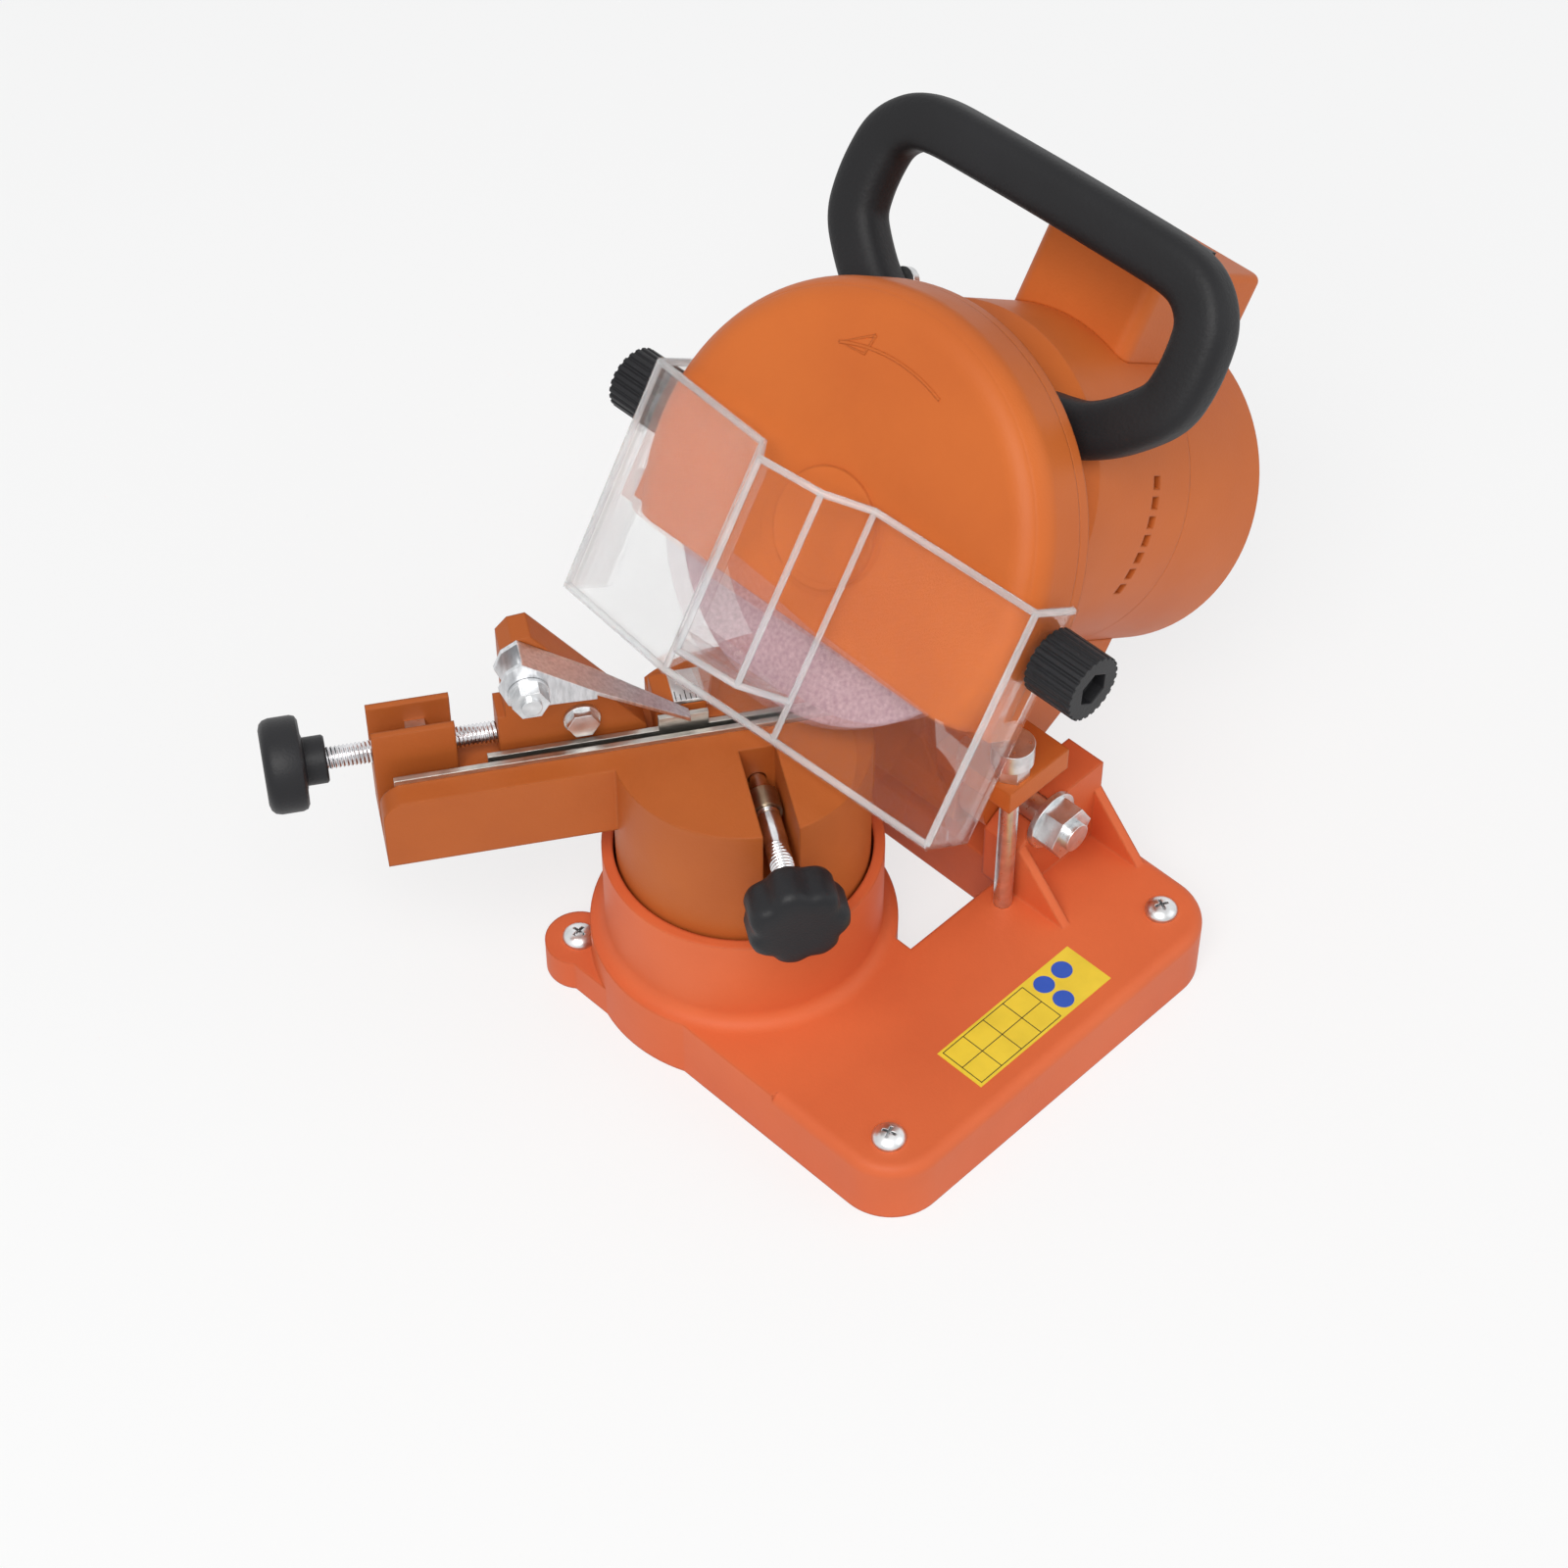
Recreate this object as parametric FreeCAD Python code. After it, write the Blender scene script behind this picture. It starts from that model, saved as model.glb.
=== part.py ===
import FreeCAD, Part
import math
import os
from FreeCAD import Vector, Rotation, Placement

# Electric chainsaw sharpener: a bench base, a swivelling chain vise and a tilting grinding head.
# The model is drawn round the vertical axis of the vise cup, with X along the chain when the
# vise is square, Y away from the operator and Z up from the bench. The finished pieces are then
# shifted so that the origin is the front left bench hole, on the underside of the base.

# Base casting
base_left = -37.0
base_right = 88.5
base_front = -88.7
slab_back = -39.0
base_height = 19.0
base_wall = 4.0
base_corner_radius = 15.0
base_edge_radius = 3.0
leg_left = 58.0
leg_back = 41.0
lobe_height = 10.0
lobe_radius = 9.0

# Bench holes
bench_hole_radius = 2.75
bench_boss_radius = 6.5
front_left_hole = (-26.0, -76.5)
front_right_hole = (76.5, -76.5)
rear_left_hole = (-31.0, 30.0)

# Cup that carries the vise
cup_radius = 36.0
cup_bore_radius = 33.1
cup_height = 48.0
cup_floor_bottom = 21.0
cup_floor_top = 25.0
cup_flare = 4.0
pivot_radius = 4.0
running_clearance = 0.05

# Hinge ears of the base
hinge_x = 65.0
hinge_z = 40.5
front_ear_front = -46.0
front_ear_back = -34.0
rear_ear_front = 31.0
ear_left = 54.0
ear_right = 86.0
ear_top = 45.5
ear_flat_left = 73.0
ear_shoulder = 36.0
gusset_reach = 16.5
gusset_height = 17.5
gusset_thickness = 2.7
hinge_bolt_radius = 4.0
hinge_head_height = 5.0
hinge_nut_height = 6.3
washer_thickness = 1.6
washer_radius = 8.2
m8_across_flats = 13.0

# Vise, drawn with its chain slot along X and turned afterwards
vise_turn = -33.0
drum_radius = 32.4
drum_top = 85.3
drum_wall = 5.0
drum_roof = 14.0
arm_end = -89.5
arm_front = -3.5
arm_thickness = 6.5
arm_bottom = 63.5
arm_corner_radius = 6.0
plate_thickness = 1.5
chain_slot = 1.6
jaw_travel = 1.2
jaw_clearance = 0.3
rail_right = 31.0
rail_bottom = 68.5
rail_top = 86.6
jaw_top = 90.5
beam_depth = 11.5
beam_top = 80.0
beam_floor_top = 67.5
post_left = -19.5
tail_right = 33.0
post_right = -7.0
post_top = 91.5
clamp_u = 3.0
clamp_z = 74.0
clamp_slot_half = 4.6
clamp_slot_floor = 60.0
clamp_rod_radius = 3.2
clamp_neck_radius = 2.2
clamp_collar_radius = 4.0
clamp_knob_radius = 12.8
clamp_knob_thickness = 12.0
clamp_knob_front = -54.0

# Chain stop carriage
bracket_right = -69.0
bracket_top = 96.5
bracket_bar = 1.8
feed_z = 86.0
feed_radius = 2.9
feed_nut_length = 5.0
feed_nut_height = 9.0
feed_knob_radius = 12.0
feed_knob_thickness = 10.0
feed_hub_radius = 6.0
feed_hub_length = 5.5
feed_knob_end = -116.0
stop_left = -56.5
stop_right = -22.0
stop_peak = 122.5
stop_toe = 93.0
stop_depth = 8.5
stop_clearance = 0.3
stop_travel_left = 8.0
stop_travel_right = 2.0
guide_u = -38.0
guide_radius = 2.5
pawl_u = -51.5
pawl_z = 113.0
pawl_heel_u = -52.5
pawl_heel_z = 122.5
pawl_fold_u = -35.0
pawl_tip_u = -12.0
pawl_tip_z = 92.4
pawl_tip_width = 3.0
pawl_sheet = 1.2
pawl_width = 8.5
pawl_bolt_radius = 2.5

# Grinding head, drawn round the wheel centre: X runs from the wheel to the motor,
# Y along the hinge and Z up in the plane of the wheel
head_lean = 33.0
hinge_s = 69.5
hinge_r = -59.8
wheel_y = 3.0
wheel_radius = 50.8
wheel_rise = 2.5
wheel_thickness = 3.2
wheel_bore_radius = 11.1
guard_radius = 60.5
guard_front = -9.0
guard_seam = 9.0
guard_back = 13.0
guard_wall = 2.5
guard_chord = -24.5
guard_edge_radius = 8.0
guard_hub_radius = 15.0
shaft_radius = 5.0
shaft_front = -6.0
shaft_back = 118.0
flange_radius = 17.0
flange_thickness = 2.6
motor_offset = 14.0
motor_radius = 44.0
motor_wall = 3.0
neck_radius = 30.0
neck_back = 34.0
housing_seam = 78.0
motor_back = 126.0
motor_dome = 12.0
stator_radius = 26.0
stator_bore = 17.2
stator_front = 40.0
stator_back = 74.0
armature_radius = 16.6
fan_radius = 21.5
bearing_radius = 11.0
bearing_width = 8.0
arm_side_front = -28.0
arm_side_back = 25.0
arm_left_s = 26.0
arm_right_s = 100.0
arm_bend_r = -26.0
arm_wall = 3.0
knuckle_radius = 11.0
knuckle_gap = 0.3
knuckle_back = 19.0
vent_size = 3.0
vent_pitch = 4.7
vent_low = 3.5
vent_s = 60.0
vent_count = 7
box_front = 60.0
box_back = 112.0
box_left = 20.0
box_right = -17.0
box_top = 80.0
box_wall = 2.5
switch_s = 88.0
switch_length = 22.0
switch_width = 13.5
rocker_pivot_radius = 2.5
rocker_pivot_depth = 3.0
handle_s = 21.0
handle_width = 14.0
handle_depth = 13.0
handle_top = 90.0
handle_half = 53.0
handle_foot = 40.0
lug_x = 50.0
lug_y = -45.0
lug_z = 62.0
stop_screw_radius = 2.5

# Shield with its two knobs
shield_half = 63.0
shield_corner = -11.0
shield_fold_left = (-18.0, 21.0)
shield_bay_left = (-29.0, 13.0)
shield_bay_right = (-25.0, -5.0)
shield_fold_right = (-14.5, -14.0)
shield_sill = -41.0
shield_top = 13.0
shield_bottom = -52.0
shield_wall = 1.6
shield_slot_half = 3.2
shield_slot_length = 15.0
shield_flange_back = 7.0
shield_knob_radius = 8.6
shield_knob_length = 14.0
shield_bolt_radius = 2.5
shield_gap = 0.3

origin_shift = Vector(-front_left_hole[0], -front_left_hole[1], 0)


def box(x0, x1, y0, y1, z0, z1):
    return Part.makeBox(x1 - x0, y1 - y0, z1 - z0, Vector(x0, y0, z0))


def rod_x(radius, x0, x1, y, z):
    return Part.makeCylinder(radius, x1 - x0, Vector(x0, y, z), Vector(1, 0, 0))


def rod_y(radius, y0, y1, x, z):
    return Part.makeCylinder(radius, y1 - y0, Vector(x, y0, z), Vector(0, 1, 0))


def rod_z(radius, z0, z1, x=0.0, y=0.0):
    return Part.makeCylinder(radius, z1 - z0, Vector(x, y, z0), Vector(0, 0, 1))


def hexagon_rod(across, length, start, direction):
    corner = across / math.sqrt(3)
    turn = Rotation(Vector(0, 0, 1), direction)
    points = [Vector(corner * math.cos(math.radians(a)), corner * math.sin(math.radians(a)), 0)
              for a in range(0, 361, 60)]
    prism = Part.Face(Part.makePolygon(points)).extrude(Vector(0, 0, length))
    prism.Placement = Placement(start, turn)
    return prism


def profile_xz(points, y0, y1):
    wire = Part.makePolygon([Vector(x, y0, z) for x, z in points + points[:1]])
    return Part.Face(wire).extrude(Vector(0, y1 - y0, 0))


def round_edges(shape, radius, chosen):
    edges = [e for e in shape.Edges if chosen(e)]
    return shape.makeFillet(radius, edges)


def upright(edge):
    ends = edge.Vertexes
    return len(ends) == 2 and abs(ends[0].Z - ends[1].Z) > 1 and abs(ends[0].X - ends[1].X) < 0.01 \
        and abs(ends[0].Y - ends[1].Y) < 0.01


def at_height(z):
    return lambda edge: all(abs(v.Z - z) < 0.01 for v in edge.Vertexes)


def lobed_disc(radius, lobes, depth, y0, y1, x, z):
    disc = rod_y(radius, y0, y1, x, z)
    scoop = radius * 0.42
    for i in range(lobes):
        a = 2 * math.pi * (i + 0.5) / lobes
        reach = radius + scoop - depth
        disc = disc.cut(rod_y(scoop, y0 - 1, y1 + 1, x + reach * math.cos(a), z + reach * math.sin(a)))
    return disc


# Base


def base_outline_block(inset, z0, z1):
    slab = box(base_left + inset, base_right - inset, base_front + inset, slab_back - inset, z0, z1)
    front_corners = lambda e: upright(e) and e.Vertexes[0].Y < base_front + inset + 1
    slab = round_edges(slab, base_corner_radius - inset, front_corners)
    leg = box(leg_left + inset, base_right - inset, slab_back - 2 * base_wall, leg_back - inset, z0, z1)
    side = box(base_left + inset, cup_radius * 0.6, slab_back - 2 * base_wall, -inset, z0, z1)
    return slab, leg, side


def ear(y0, y1):
    shoulder_turn = (ear_flat_left + ear_left) / 2
    points = [(ear_left, base_height - 1), (ear_right, base_height - 1), (ear_right, ear_top),
              (ear_flat_left, ear_top), (shoulder_turn, (ear_top + ear_shoulder) / 2 + 1.5),
              (ear_left, ear_shoulder)]
    return profile_xz(points, y0, y1)


def gusset(x0):
    low = base_height - 1
    points = [Vector(x0, front_ear_front + 1, low), Vector(x0, front_ear_front - gusset_reach, low),
              Vector(x0, front_ear_front - gusset_reach, base_height),
              Vector(x0, front_ear_front, base_height + gusset_height),
              Vector(x0, front_ear_front + 1, base_height + gusset_height)]
    face = Part.Face(Part.makePolygon(points + points[:1]))
    return face.extrude(Vector(gusset_thickness, 0, 0))


def cup_solid():
    foot = cup_radius + cup_flare
    flare_top = base_height + cup_flare
    diagonal = cup_flare * math.sqrt(0.5)
    start = Vector(foot, 0, base_height)
    middle = Vector(foot - diagonal, 0, flare_top - diagonal)
    end = Vector(cup_radius, 0, flare_top)
    below = Part.makePolygon([Vector(0, 0, 0), Vector(foot, 0, 0), start])
    above = Part.makePolygon([end, Vector(cup_radius, 0, cup_height), Vector(0, 0, cup_height),
                              Vector(0, 0, 0)])
    wire = Part.Wire(below.Edges + [Part.Arc(start, middle, end).toShape()] + above.Edges)
    return Part.Face(wire).revolve(Vector(0, 0, 0), Vector(0, 0, 1), 360)


def lobe_solid():
    x, y = rear_left_hole
    round_end = rod_z(lobe_radius, 0, lobe_height, x, y)
    neck = box(x - lobe_radius + 2, 0, 0, y, 0, lobe_height)
    return round_end.fuse(neck)


def make_base():
    slab, leg, side = base_outline_block(0, 0, base_height)
    top_edges = lambda e: at_height(base_height)(e) and e.BoundBox.YMin < slab_back - 1
    slab = round_edges(slab, base_edge_radius, top_edges)
    solid = slab.fuse([leg, side, cup_solid(), lobe_solid(), ear(front_ear_front, front_ear_back),
                       ear(rear_ear_front, leg_back)])
    solid = solid.fuse([gusset(ear_left), gusset(ear_right - gusset_thickness)])
    hollow_top = base_height - base_wall
    hollows = list(base_outline_block(base_wall, -1, hollow_top))
    hollows.append(rod_z(cup_radius - base_wall, -1, cup_floor_bottom))
    solid = solid.cut(hollows[0].fuse(hollows[1:]))
    for hole, top in ((front_left_hole, base_height), (front_right_hole, base_height),
                      (rear_left_hole, lobe_height)):
        solid = solid.fuse(rod_z(bench_boss_radius, 0, top - 1, *hole))
        solid = solid.cut(rod_z(bench_hole_radius, -1, top + 1, *hole))
    solid = solid.cut(rod_z(cup_bore_radius, cup_floor_top, cup_height + 1))
    solid = solid.cut(rod_z(pivot_radius + running_clearance, 0, cup_height))
    bore = hinge_bolt_radius + 0.1
    solid = solid.cut(rod_y(bore, front_ear_front - 1, front_ear_back + 1, hinge_x, hinge_z))
    solid = solid.cut(rod_y(bore, rear_ear_front - 1, leg_back + 1, hinge_x, hinge_z))
    return solid.removeSplitter()


def make_hinge_bolt():
    tail = front_ear_front - washer_thickness - hinge_nut_height - 2.0
    shank = rod_y(hinge_bolt_radius, tail, leg_back + washer_thickness, hinge_x, hinge_z)
    head = hexagon_rod(m8_across_flats, hinge_head_height,
                       Vector(hinge_x, leg_back + washer_thickness, hinge_z), Vector(0, 1, 0))
    return shank.fuse(head)


def make_hinge_washers():
    front = rod_y(washer_radius, front_ear_front - washer_thickness, front_ear_front, hinge_x, hinge_z)
    back = rod_y(washer_radius, leg_back, leg_back + washer_thickness, hinge_x, hinge_z)
    hole = rod_y(hinge_bolt_radius + 0.1, front_ear_front - 5, leg_back + 5, hinge_x, hinge_z)
    return Part.makeCompound([front.cut(hole), back.cut(hole)])


def make_hinge_nut():
    back = front_ear_front - washer_thickness
    nut = hexagon_rod(m8_across_flats, hinge_nut_height, Vector(hinge_x, back, hinge_z), Vector(0, -1, 0))
    return nut.cut(rod_y(hinge_bolt_radius, back - 10, back + 1, hinge_x, hinge_z))


def make_hinge_spring():
    coil_radius = 6.6
    wire_radius = 0.9
    length = rear_ear_front - wheel_y - knuckle_back - 2.4
    start = wheel_y + knuckle_back + 1.2
    helix = Part.makeHelix(length / 4.5, length, coil_radius)
    profile = Part.Wire(Part.makeCircle(wire_radius, Vector(coil_radius, 0, 0), Vector(0, 1, 0)))
    coil = Part.Wire(helix).makePipeShell([profile], True, True)
    coil.rotate(Vector(0, 0, 0), Vector(1, 0, 0), -90)
    coil.translate(Vector(hinge_x, start, hinge_z))
    return coil


# Vise


def place_vise(shape):
    shape.rotate(Vector(0, 0, 0), Vector(0, 0, 1), vise_turn)
    return shape


slot_front = arm_front + arm_thickness + plate_thickness
jaw_front = slot_front + chain_slot
jaw_back = jaw_front + plate_thickness
beam_front = jaw_back + jaw_travel + jaw_clearance
beam_back = beam_front + beam_depth
feed_v = beam_front + beam_depth / 2


def make_vise_body():
    seat = cup_floor_top
    drum = rod_z(drum_radius, seat, drum_top)
    arm = box(arm_end, 0, arm_front, arm_front + arm_thickness, arm_bottom, drum_top)
    corner = lambda e: e.BoundBox.XMax < arm_end + 0.1 and e.BoundBox.ZMin > drum_top - 0.1
    arm = round_edges(arm, arm_corner_radius, corner)
    beam = box(arm_end + 20, tail_right, arm_front, beam_back, arm_bottom, beam_top)
    bracket = box(arm_end, bracket_right, beam_front, beam_back, arm_bottom, bracket_top)
    bridge = box(arm_end, bracket_right + 1, arm_front, beam_back, arm_bottom, beam_floor_top)
    solid = drum.fuse([arm, beam, bracket, bridge])
    tail_front = beam_front
    groove = box(arm_end - 5, tail_right + 20, arm_front + arm_thickness, tail_front, beam_floor_top,
                 drum_top + 30)
    solid = solid.cut(groove)
    above_beam = box(bracket_right, post_left, beam_front - 0.01, beam_back + 30, beam_top, drum_top + 10)
    solid = solid.cut(above_beam)
    tail = box(post_left, tail_right, tail_front, beam_back, arm_bottom, drum_top)
    right_end = lambda e: e.BoundBox.XMin > tail_right - 0.1 and e.BoundBox.YLength > 5 \
        and e.BoundBox.ZMin > drum_top - 0.1
    tail = round_edges(tail, 8.0, right_end)
    post = box(post_left, post_right, tail_front, beam_back, beam_top, post_top)
    solid = solid.fuse([tail, post])
    well = rod_z(drum_radius - drum_wall, seat - 1, drum_top - drum_roof - 14)
    post = rod_z(pivot_radius + 5, seat, drum_top - drum_roof - 10)
    solid = solid.cut(well).fuse(post)
    slot = box(clamp_u - clamp_slot_half, clamp_u + clamp_slot_half, -drum_radius - 1, arm_front,
               clamp_slot_floor, drum_top + 1)
    solid = solid.cut(slot)
    neck_hole = rod_y(clamp_neck_radius + 0.15, arm_front - 1, arm_front + arm_thickness + 1, clamp_u, clamp_z)
    solid = solid.cut(neck_hole)
    pocket = rod_y(clamp_neck_radius + 1.2, beam_front - 1, beam_front + 6, clamp_u, clamp_z)
    solid = solid.cut(pocket)
    nut_slot = box(arm_end + 9, bracket_right - 6.5, beam_front + bracket_bar, beam_back - bracket_bar,
                   feed_z - feed_nut_height / 2, bracket_top + 1)
    trough = box(arm_end - 1, bracket_right + 1, beam_front + bracket_bar, beam_back - bracket_bar,
                 feed_z, bracket_top + 1)
    bore = rod_x(feed_radius + 0.15, arm_end - 1, bracket_right + 1, feed_v, feed_z)
    solid = solid.cut(nut_slot.fuse([trough, bore]))
    guide_slot = box(guide_u - guide_radius - stop_travel_left - 0.4,
                     guide_u + guide_radius + stop_travel_right + 0.4,
                     feed_v - guide_radius - 0.3, feed_v + guide_radius + 0.3, arm_bottom - 1, beam_top + 1)
    solid = solid.cut(guide_slot)
    stud_hole = rod_z(pivot_radius, seat - 1, seat + 22)
    return solid.cut(stud_hole).removeSplitter()


def make_front_rail():
    v0 = arm_front + arm_thickness
    rail = box(arm_end + 4, rail_right, v0, v0 + plate_thickness, rail_bottom, rail_top)
    return rail.cut(rod_y(clamp_neck_radius + 0.3, v0 - 1, v0 + 5, clamp_u, clamp_z))


def make_jaw_plate():
    low = box(-62, rail_right, jaw_front, jaw_back, rail_bottom, rail_top)
    raised = box(post_left, post_right, jaw_front, jaw_back, rail_bottom, jaw_top)
    return low.fuse(raised).removeSplitter().cut(
        rod_y(clamp_neck_radius, jaw_front - 1, jaw_back + 1, clamp_u, clamp_z))


def make_scale_plate():
    return box(post_right - 8.0, post_right, beam_front, beam_back - 1, post_top, post_top + 1.2)


def make_clamp_rod():
    back = jaw_back
    neck = rod_y(clamp_neck_radius, arm_front - 8, back, clamp_u, clamp_z)
    rod = rod_y(clamp_rod_radius, clamp_knob_front + 4, arm_front - 8, clamp_u, clamp_z)
    return rod.fuse(neck)


def make_clamp_collar():
    y1 = arm_front - 7.0
    collar = rod_y(clamp_collar_radius, y1 - 5, y1 + 1.2, clamp_u, clamp_z)
    hole = rod_y(clamp_rod_radius, y1 - 6, y1 - 1, clamp_u, clamp_z)
    neck = rod_y(clamp_neck_radius, y1 - 2, y1 + 6, clamp_u, clamp_z)
    return collar.cut(hole.fuse(neck))


def make_clamp_knob():
    y0 = clamp_knob_front
    head = lobed_disc(clamp_knob_radius, 7, 2.2, y0, y0 + clamp_knob_thickness, clamp_u, clamp_z)
    boss = rod_y(6.5, y0 + clamp_knob_thickness, y0 + clamp_knob_thickness + 4, clamp_u, clamp_z)
    socket = rod_y(clamp_rod_radius, y0 + 4, y0 + 30, clamp_u, clamp_z)
    return head.fuse(boss).cut(socket)


def make_feed_nut():
    mid = (arm_end + 9 + bracket_right - 6.5) / 2
    half = feed_nut_length / 2
    nut = box(mid - half, mid + half, beam_front + bracket_bar, beam_back - bracket_bar,
              feed_z - feed_nut_height / 2, feed_z + feed_nut_height / 2)
    return nut.cut(rod_x(feed_radius + 0.05, mid - 5, mid + 5, feed_v, feed_z))


def make_stop_block():
    bottom = beam_top + 0.05
    points = [(stop_left, bottom), (stop_left, stop_peak - 4), (stop_left + 3, stop_peak - 0.5),
              (stop_left + 7.5, stop_peak), (stop_right - 5, stop_toe), (stop_right, stop_toe - 7),
              (stop_right, bottom)]
    front = beam_front + stop_clearance
    block = profile_xz(points, front, front + stop_depth)
    flange = box(stop_left - 2, stop_left, front, front + stop_depth, bottom + 1, bracket_top)
    block = block.fuse(flange)
    block = block.cut(rod_x(feed_radius, stop_left - 3, stop_left + 8, feed_v, feed_z))
    block = block.cut(rod_y(pawl_bolt_radius, front - 1, front + stop_depth + 1, pawl_u, pawl_z))
    block = block.cut(rod_z(guide_radius, bottom - 1, beam_top + 12, guide_u, feed_v))
    return block.removeSplitter()


def make_guide_bolt():
    head_top = arm_bottom - washer_thickness
    shank = rod_z(guide_radius, head_top - 0.1, beam_top + 12, guide_u, feed_v)
    washer = rod_z(5.5, head_top, arm_bottom - 0.1, guide_u, feed_v)
    head = hexagon_rod(8.0, 3.5, Vector(guide_u, feed_v, head_top), Vector(0, 0, -1))
    return shank.fuse([washer, head])


def make_stop_washer():
    front = beam_front + stop_clearance
    u, z = guide_u, rail_top + 5.6
    washer = rod_y(4.6, front - 1.0, front, u, z)
    nut = hexagon_rod(7.0, 2.2, Vector(u, front - 1.0, z), Vector(0, -1, 0))
    return washer.fuse(nut)


def make_pawl():
    back = beam_front
    front = back - pawl_width
    slope = (pawl_tip_z - pawl_heel_z) / (pawl_tip_u - pawl_heel_u)
    fold_z = pawl_heel_z + slope * (pawl_fold_u - pawl_heel_u)
    web = [(pawl_heel_u, pawl_heel_z), (pawl_tip_u, pawl_tip_z), (pawl_tip_u, pawl_tip_z - pawl_sheet),
           (pawl_heel_u, pawl_heel_z - pawl_sheet)]
    cheek = [(pawl_heel_u, pawl_heel_z), (pawl_fold_u, fold_z), (pawl_fold_u, fold_z - 2.5),
             (pawl_u + 5.5, pawl_z - 5.5), (pawl_u, pawl_z - 6.0), (pawl_u - 5.0, pawl_z - 3.5),
             (pawl_u - 7.0, pawl_z + 2.0), (pawl_u - 5.0, pawl_z + 7.0)]
    top = profile_xz(web, front, back)
    near = profile_xz(cheek, front, front + pawl_sheet)
    far = profile_xz(cheek, back - pawl_sheet, back)
    hole = rod_y(pawl_bolt_radius + running_clearance, front - 1, back + 1, pawl_u, pawl_z)
    spare = (pawl_width - pawl_tip_width) / 2
    pawl = top.fuse([near, far]).cut(hole)
    for side, inward in ((front, 1), (back, -1)):
        corners = [Vector(pawl_fold_u, side, 0), Vector(pawl_tip_u + 1, side + inward * spare, 0),
                   Vector(pawl_tip_u + 1, side - inward, 0), Vector(pawl_fold_u, side - inward, 0)]
        wedge = Part.Face(Part.makePolygon(corners + corners[:1])).extrude(Vector(0, 0, pawl_heel_z))
        pawl = pawl.cut(wedge)
    return pawl.removeSplitter()


def make_pawl_bolt():
    front = beam_front + stop_clearance
    y0 = front - 0.3 - pawl_width
    shank = rod_y(pawl_bolt_radius, y0 - 5.5, front + stop_depth, pawl_u, pawl_z)
    head = hexagon_rod(8.0, 3.5, Vector(pawl_u, front + stop_depth, pawl_z), Vector(0, 1, 0))
    washer = rod_y(5.0, y0 - 1.1, y0 - 0.1, pawl_u, pawl_z)
    nut = hexagon_rod(8.0, 3.4, Vector(pawl_u, y0 - 1.1, pawl_z), Vector(0, -1, 0))
    return shank.fuse([head, washer, nut])


def make_feed_screw():
    return rod_x(feed_radius, feed_knob_end + 3, stop_left + 7.5, feed_v, feed_z)


def make_feed_knob():
    disc = rod_x(feed_knob_radius, feed_knob_end, feed_knob_end + feed_knob_thickness, feed_v, feed_z)
    rim = lambda e: e.BoundBox.XMax < feed_knob_end + 0.1 and e.BoundBox.YLength > 5
    disc = round_edges(disc, 3.0, rim)
    x1 = feed_knob_end + feed_knob_thickness
    hub = rod_x(feed_hub_radius, x1, x1 + feed_hub_length, feed_v, feed_z)
    socket = rod_x(feed_radius, feed_knob_end + 3, x1 + 20, feed_v, feed_z)
    return disc.fuse(hub).cut(socket)


def make_pivot_stud():
    return rod_z(pivot_radius, 3.0, cup_floor_top + 21)


def make_lock_washer():
    z1 = cup_floor_bottom - 0.05
    return rod_z(9.0, z1 - washer_thickness, z1).cut(rod_z(pivot_radius + 0.1, 0, 40))


def make_lock_knob():
    z1 = cup_floor_bottom - 0.05 - washer_thickness - 0.05
    disc = rod_z(17.0, z1 - 12, z1)
    for i in range(6):
        a = math.pi * i / 3
        disc = disc.cut(rod_z(5.0, 0, 40, 20.0 * math.cos(a), 20.0 * math.sin(a)))
    return disc.cut(rod_z(pivot_radius + 0.04, 0, 40))


# Grinding head


def place_spindle(shape):
    raised = shape.copy()
    raised.translate(Vector(0, 0, wheel_rise))
    return place_head(raised)


def place_head(shape):
    lean = Rotation(Vector(0, 1, 0), head_lean)
    hinge_local = lean.multVec(Vector(hinge_s, 0, hinge_r))
    centre = Vector(hinge_x - hinge_local.x, wheel_y, hinge_z - hinge_local.z)
    placed = shape.copy()
    placed.Placement = Placement(centre, lean).multiply(placed.Placement)
    return placed


def guard_disc(radius, s0, s1, chord):
    disc = rod_x(radius, s0, s1, 0, 0)
    return disc.cut(box(s0 - 1, s1 + 1, -radius - 5, radius + 5, -radius - 5, chord))


def make_guard_cover():
    outer = rod_x(guard_radius, guard_front, guard_seam, 0, 0)
    front_rim = lambda e: e.BoundBox.XMax < guard_front + 0.1 and e.BoundBox.YLength > 5
    outer = round_edges(outer, guard_edge_radius, front_rim)
    side = guard_radius
    for sign in (-1, 1):
        y0, y1 = sorted((sign * (side - 14), sign * side))
        outer = outer.fuse(box(guard_front + guard_edge_radius, guard_seam, y0, y1, guard_chord, 6))
    below = box(guard_front - 1, guard_seam + 1, -side - 5, side + 5, -side - 5, guard_chord)
    outer = outer.cut(below)
    inner = rod_x(guard_radius - guard_wall, guard_front + guard_wall, guard_seam + 1, 0, 0)
    shell = outer.cut(inner)
    hub = rod_x(guard_hub_radius, guard_front - 0.8, guard_front + 0.5, 0, 0)
    shell = shell.fuse(hub)
    for sign in (-1, 1):
        y0, y1 = sorted((sign * (side - 9), sign * (side + 1)))
        shell = shell.cut(rod_y(shield_bolt_radius, y0, y1, 3.0, 0))
    return shell.removeSplitter()


def make_guard_back():
    plate = guard_disc(guard_radius, guard_seam, guard_back, guard_chord)
    plate = plate.cut(rod_x(shaft_radius + 3, guard_seam - 1, guard_back + 1, 0, wheel_rise))
    for y, z in guard_screw_places():
        plate = plate.cut(rod_x(1.9, guard_seam - 1, guard_back + 1, y, z))
    return plate


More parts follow.
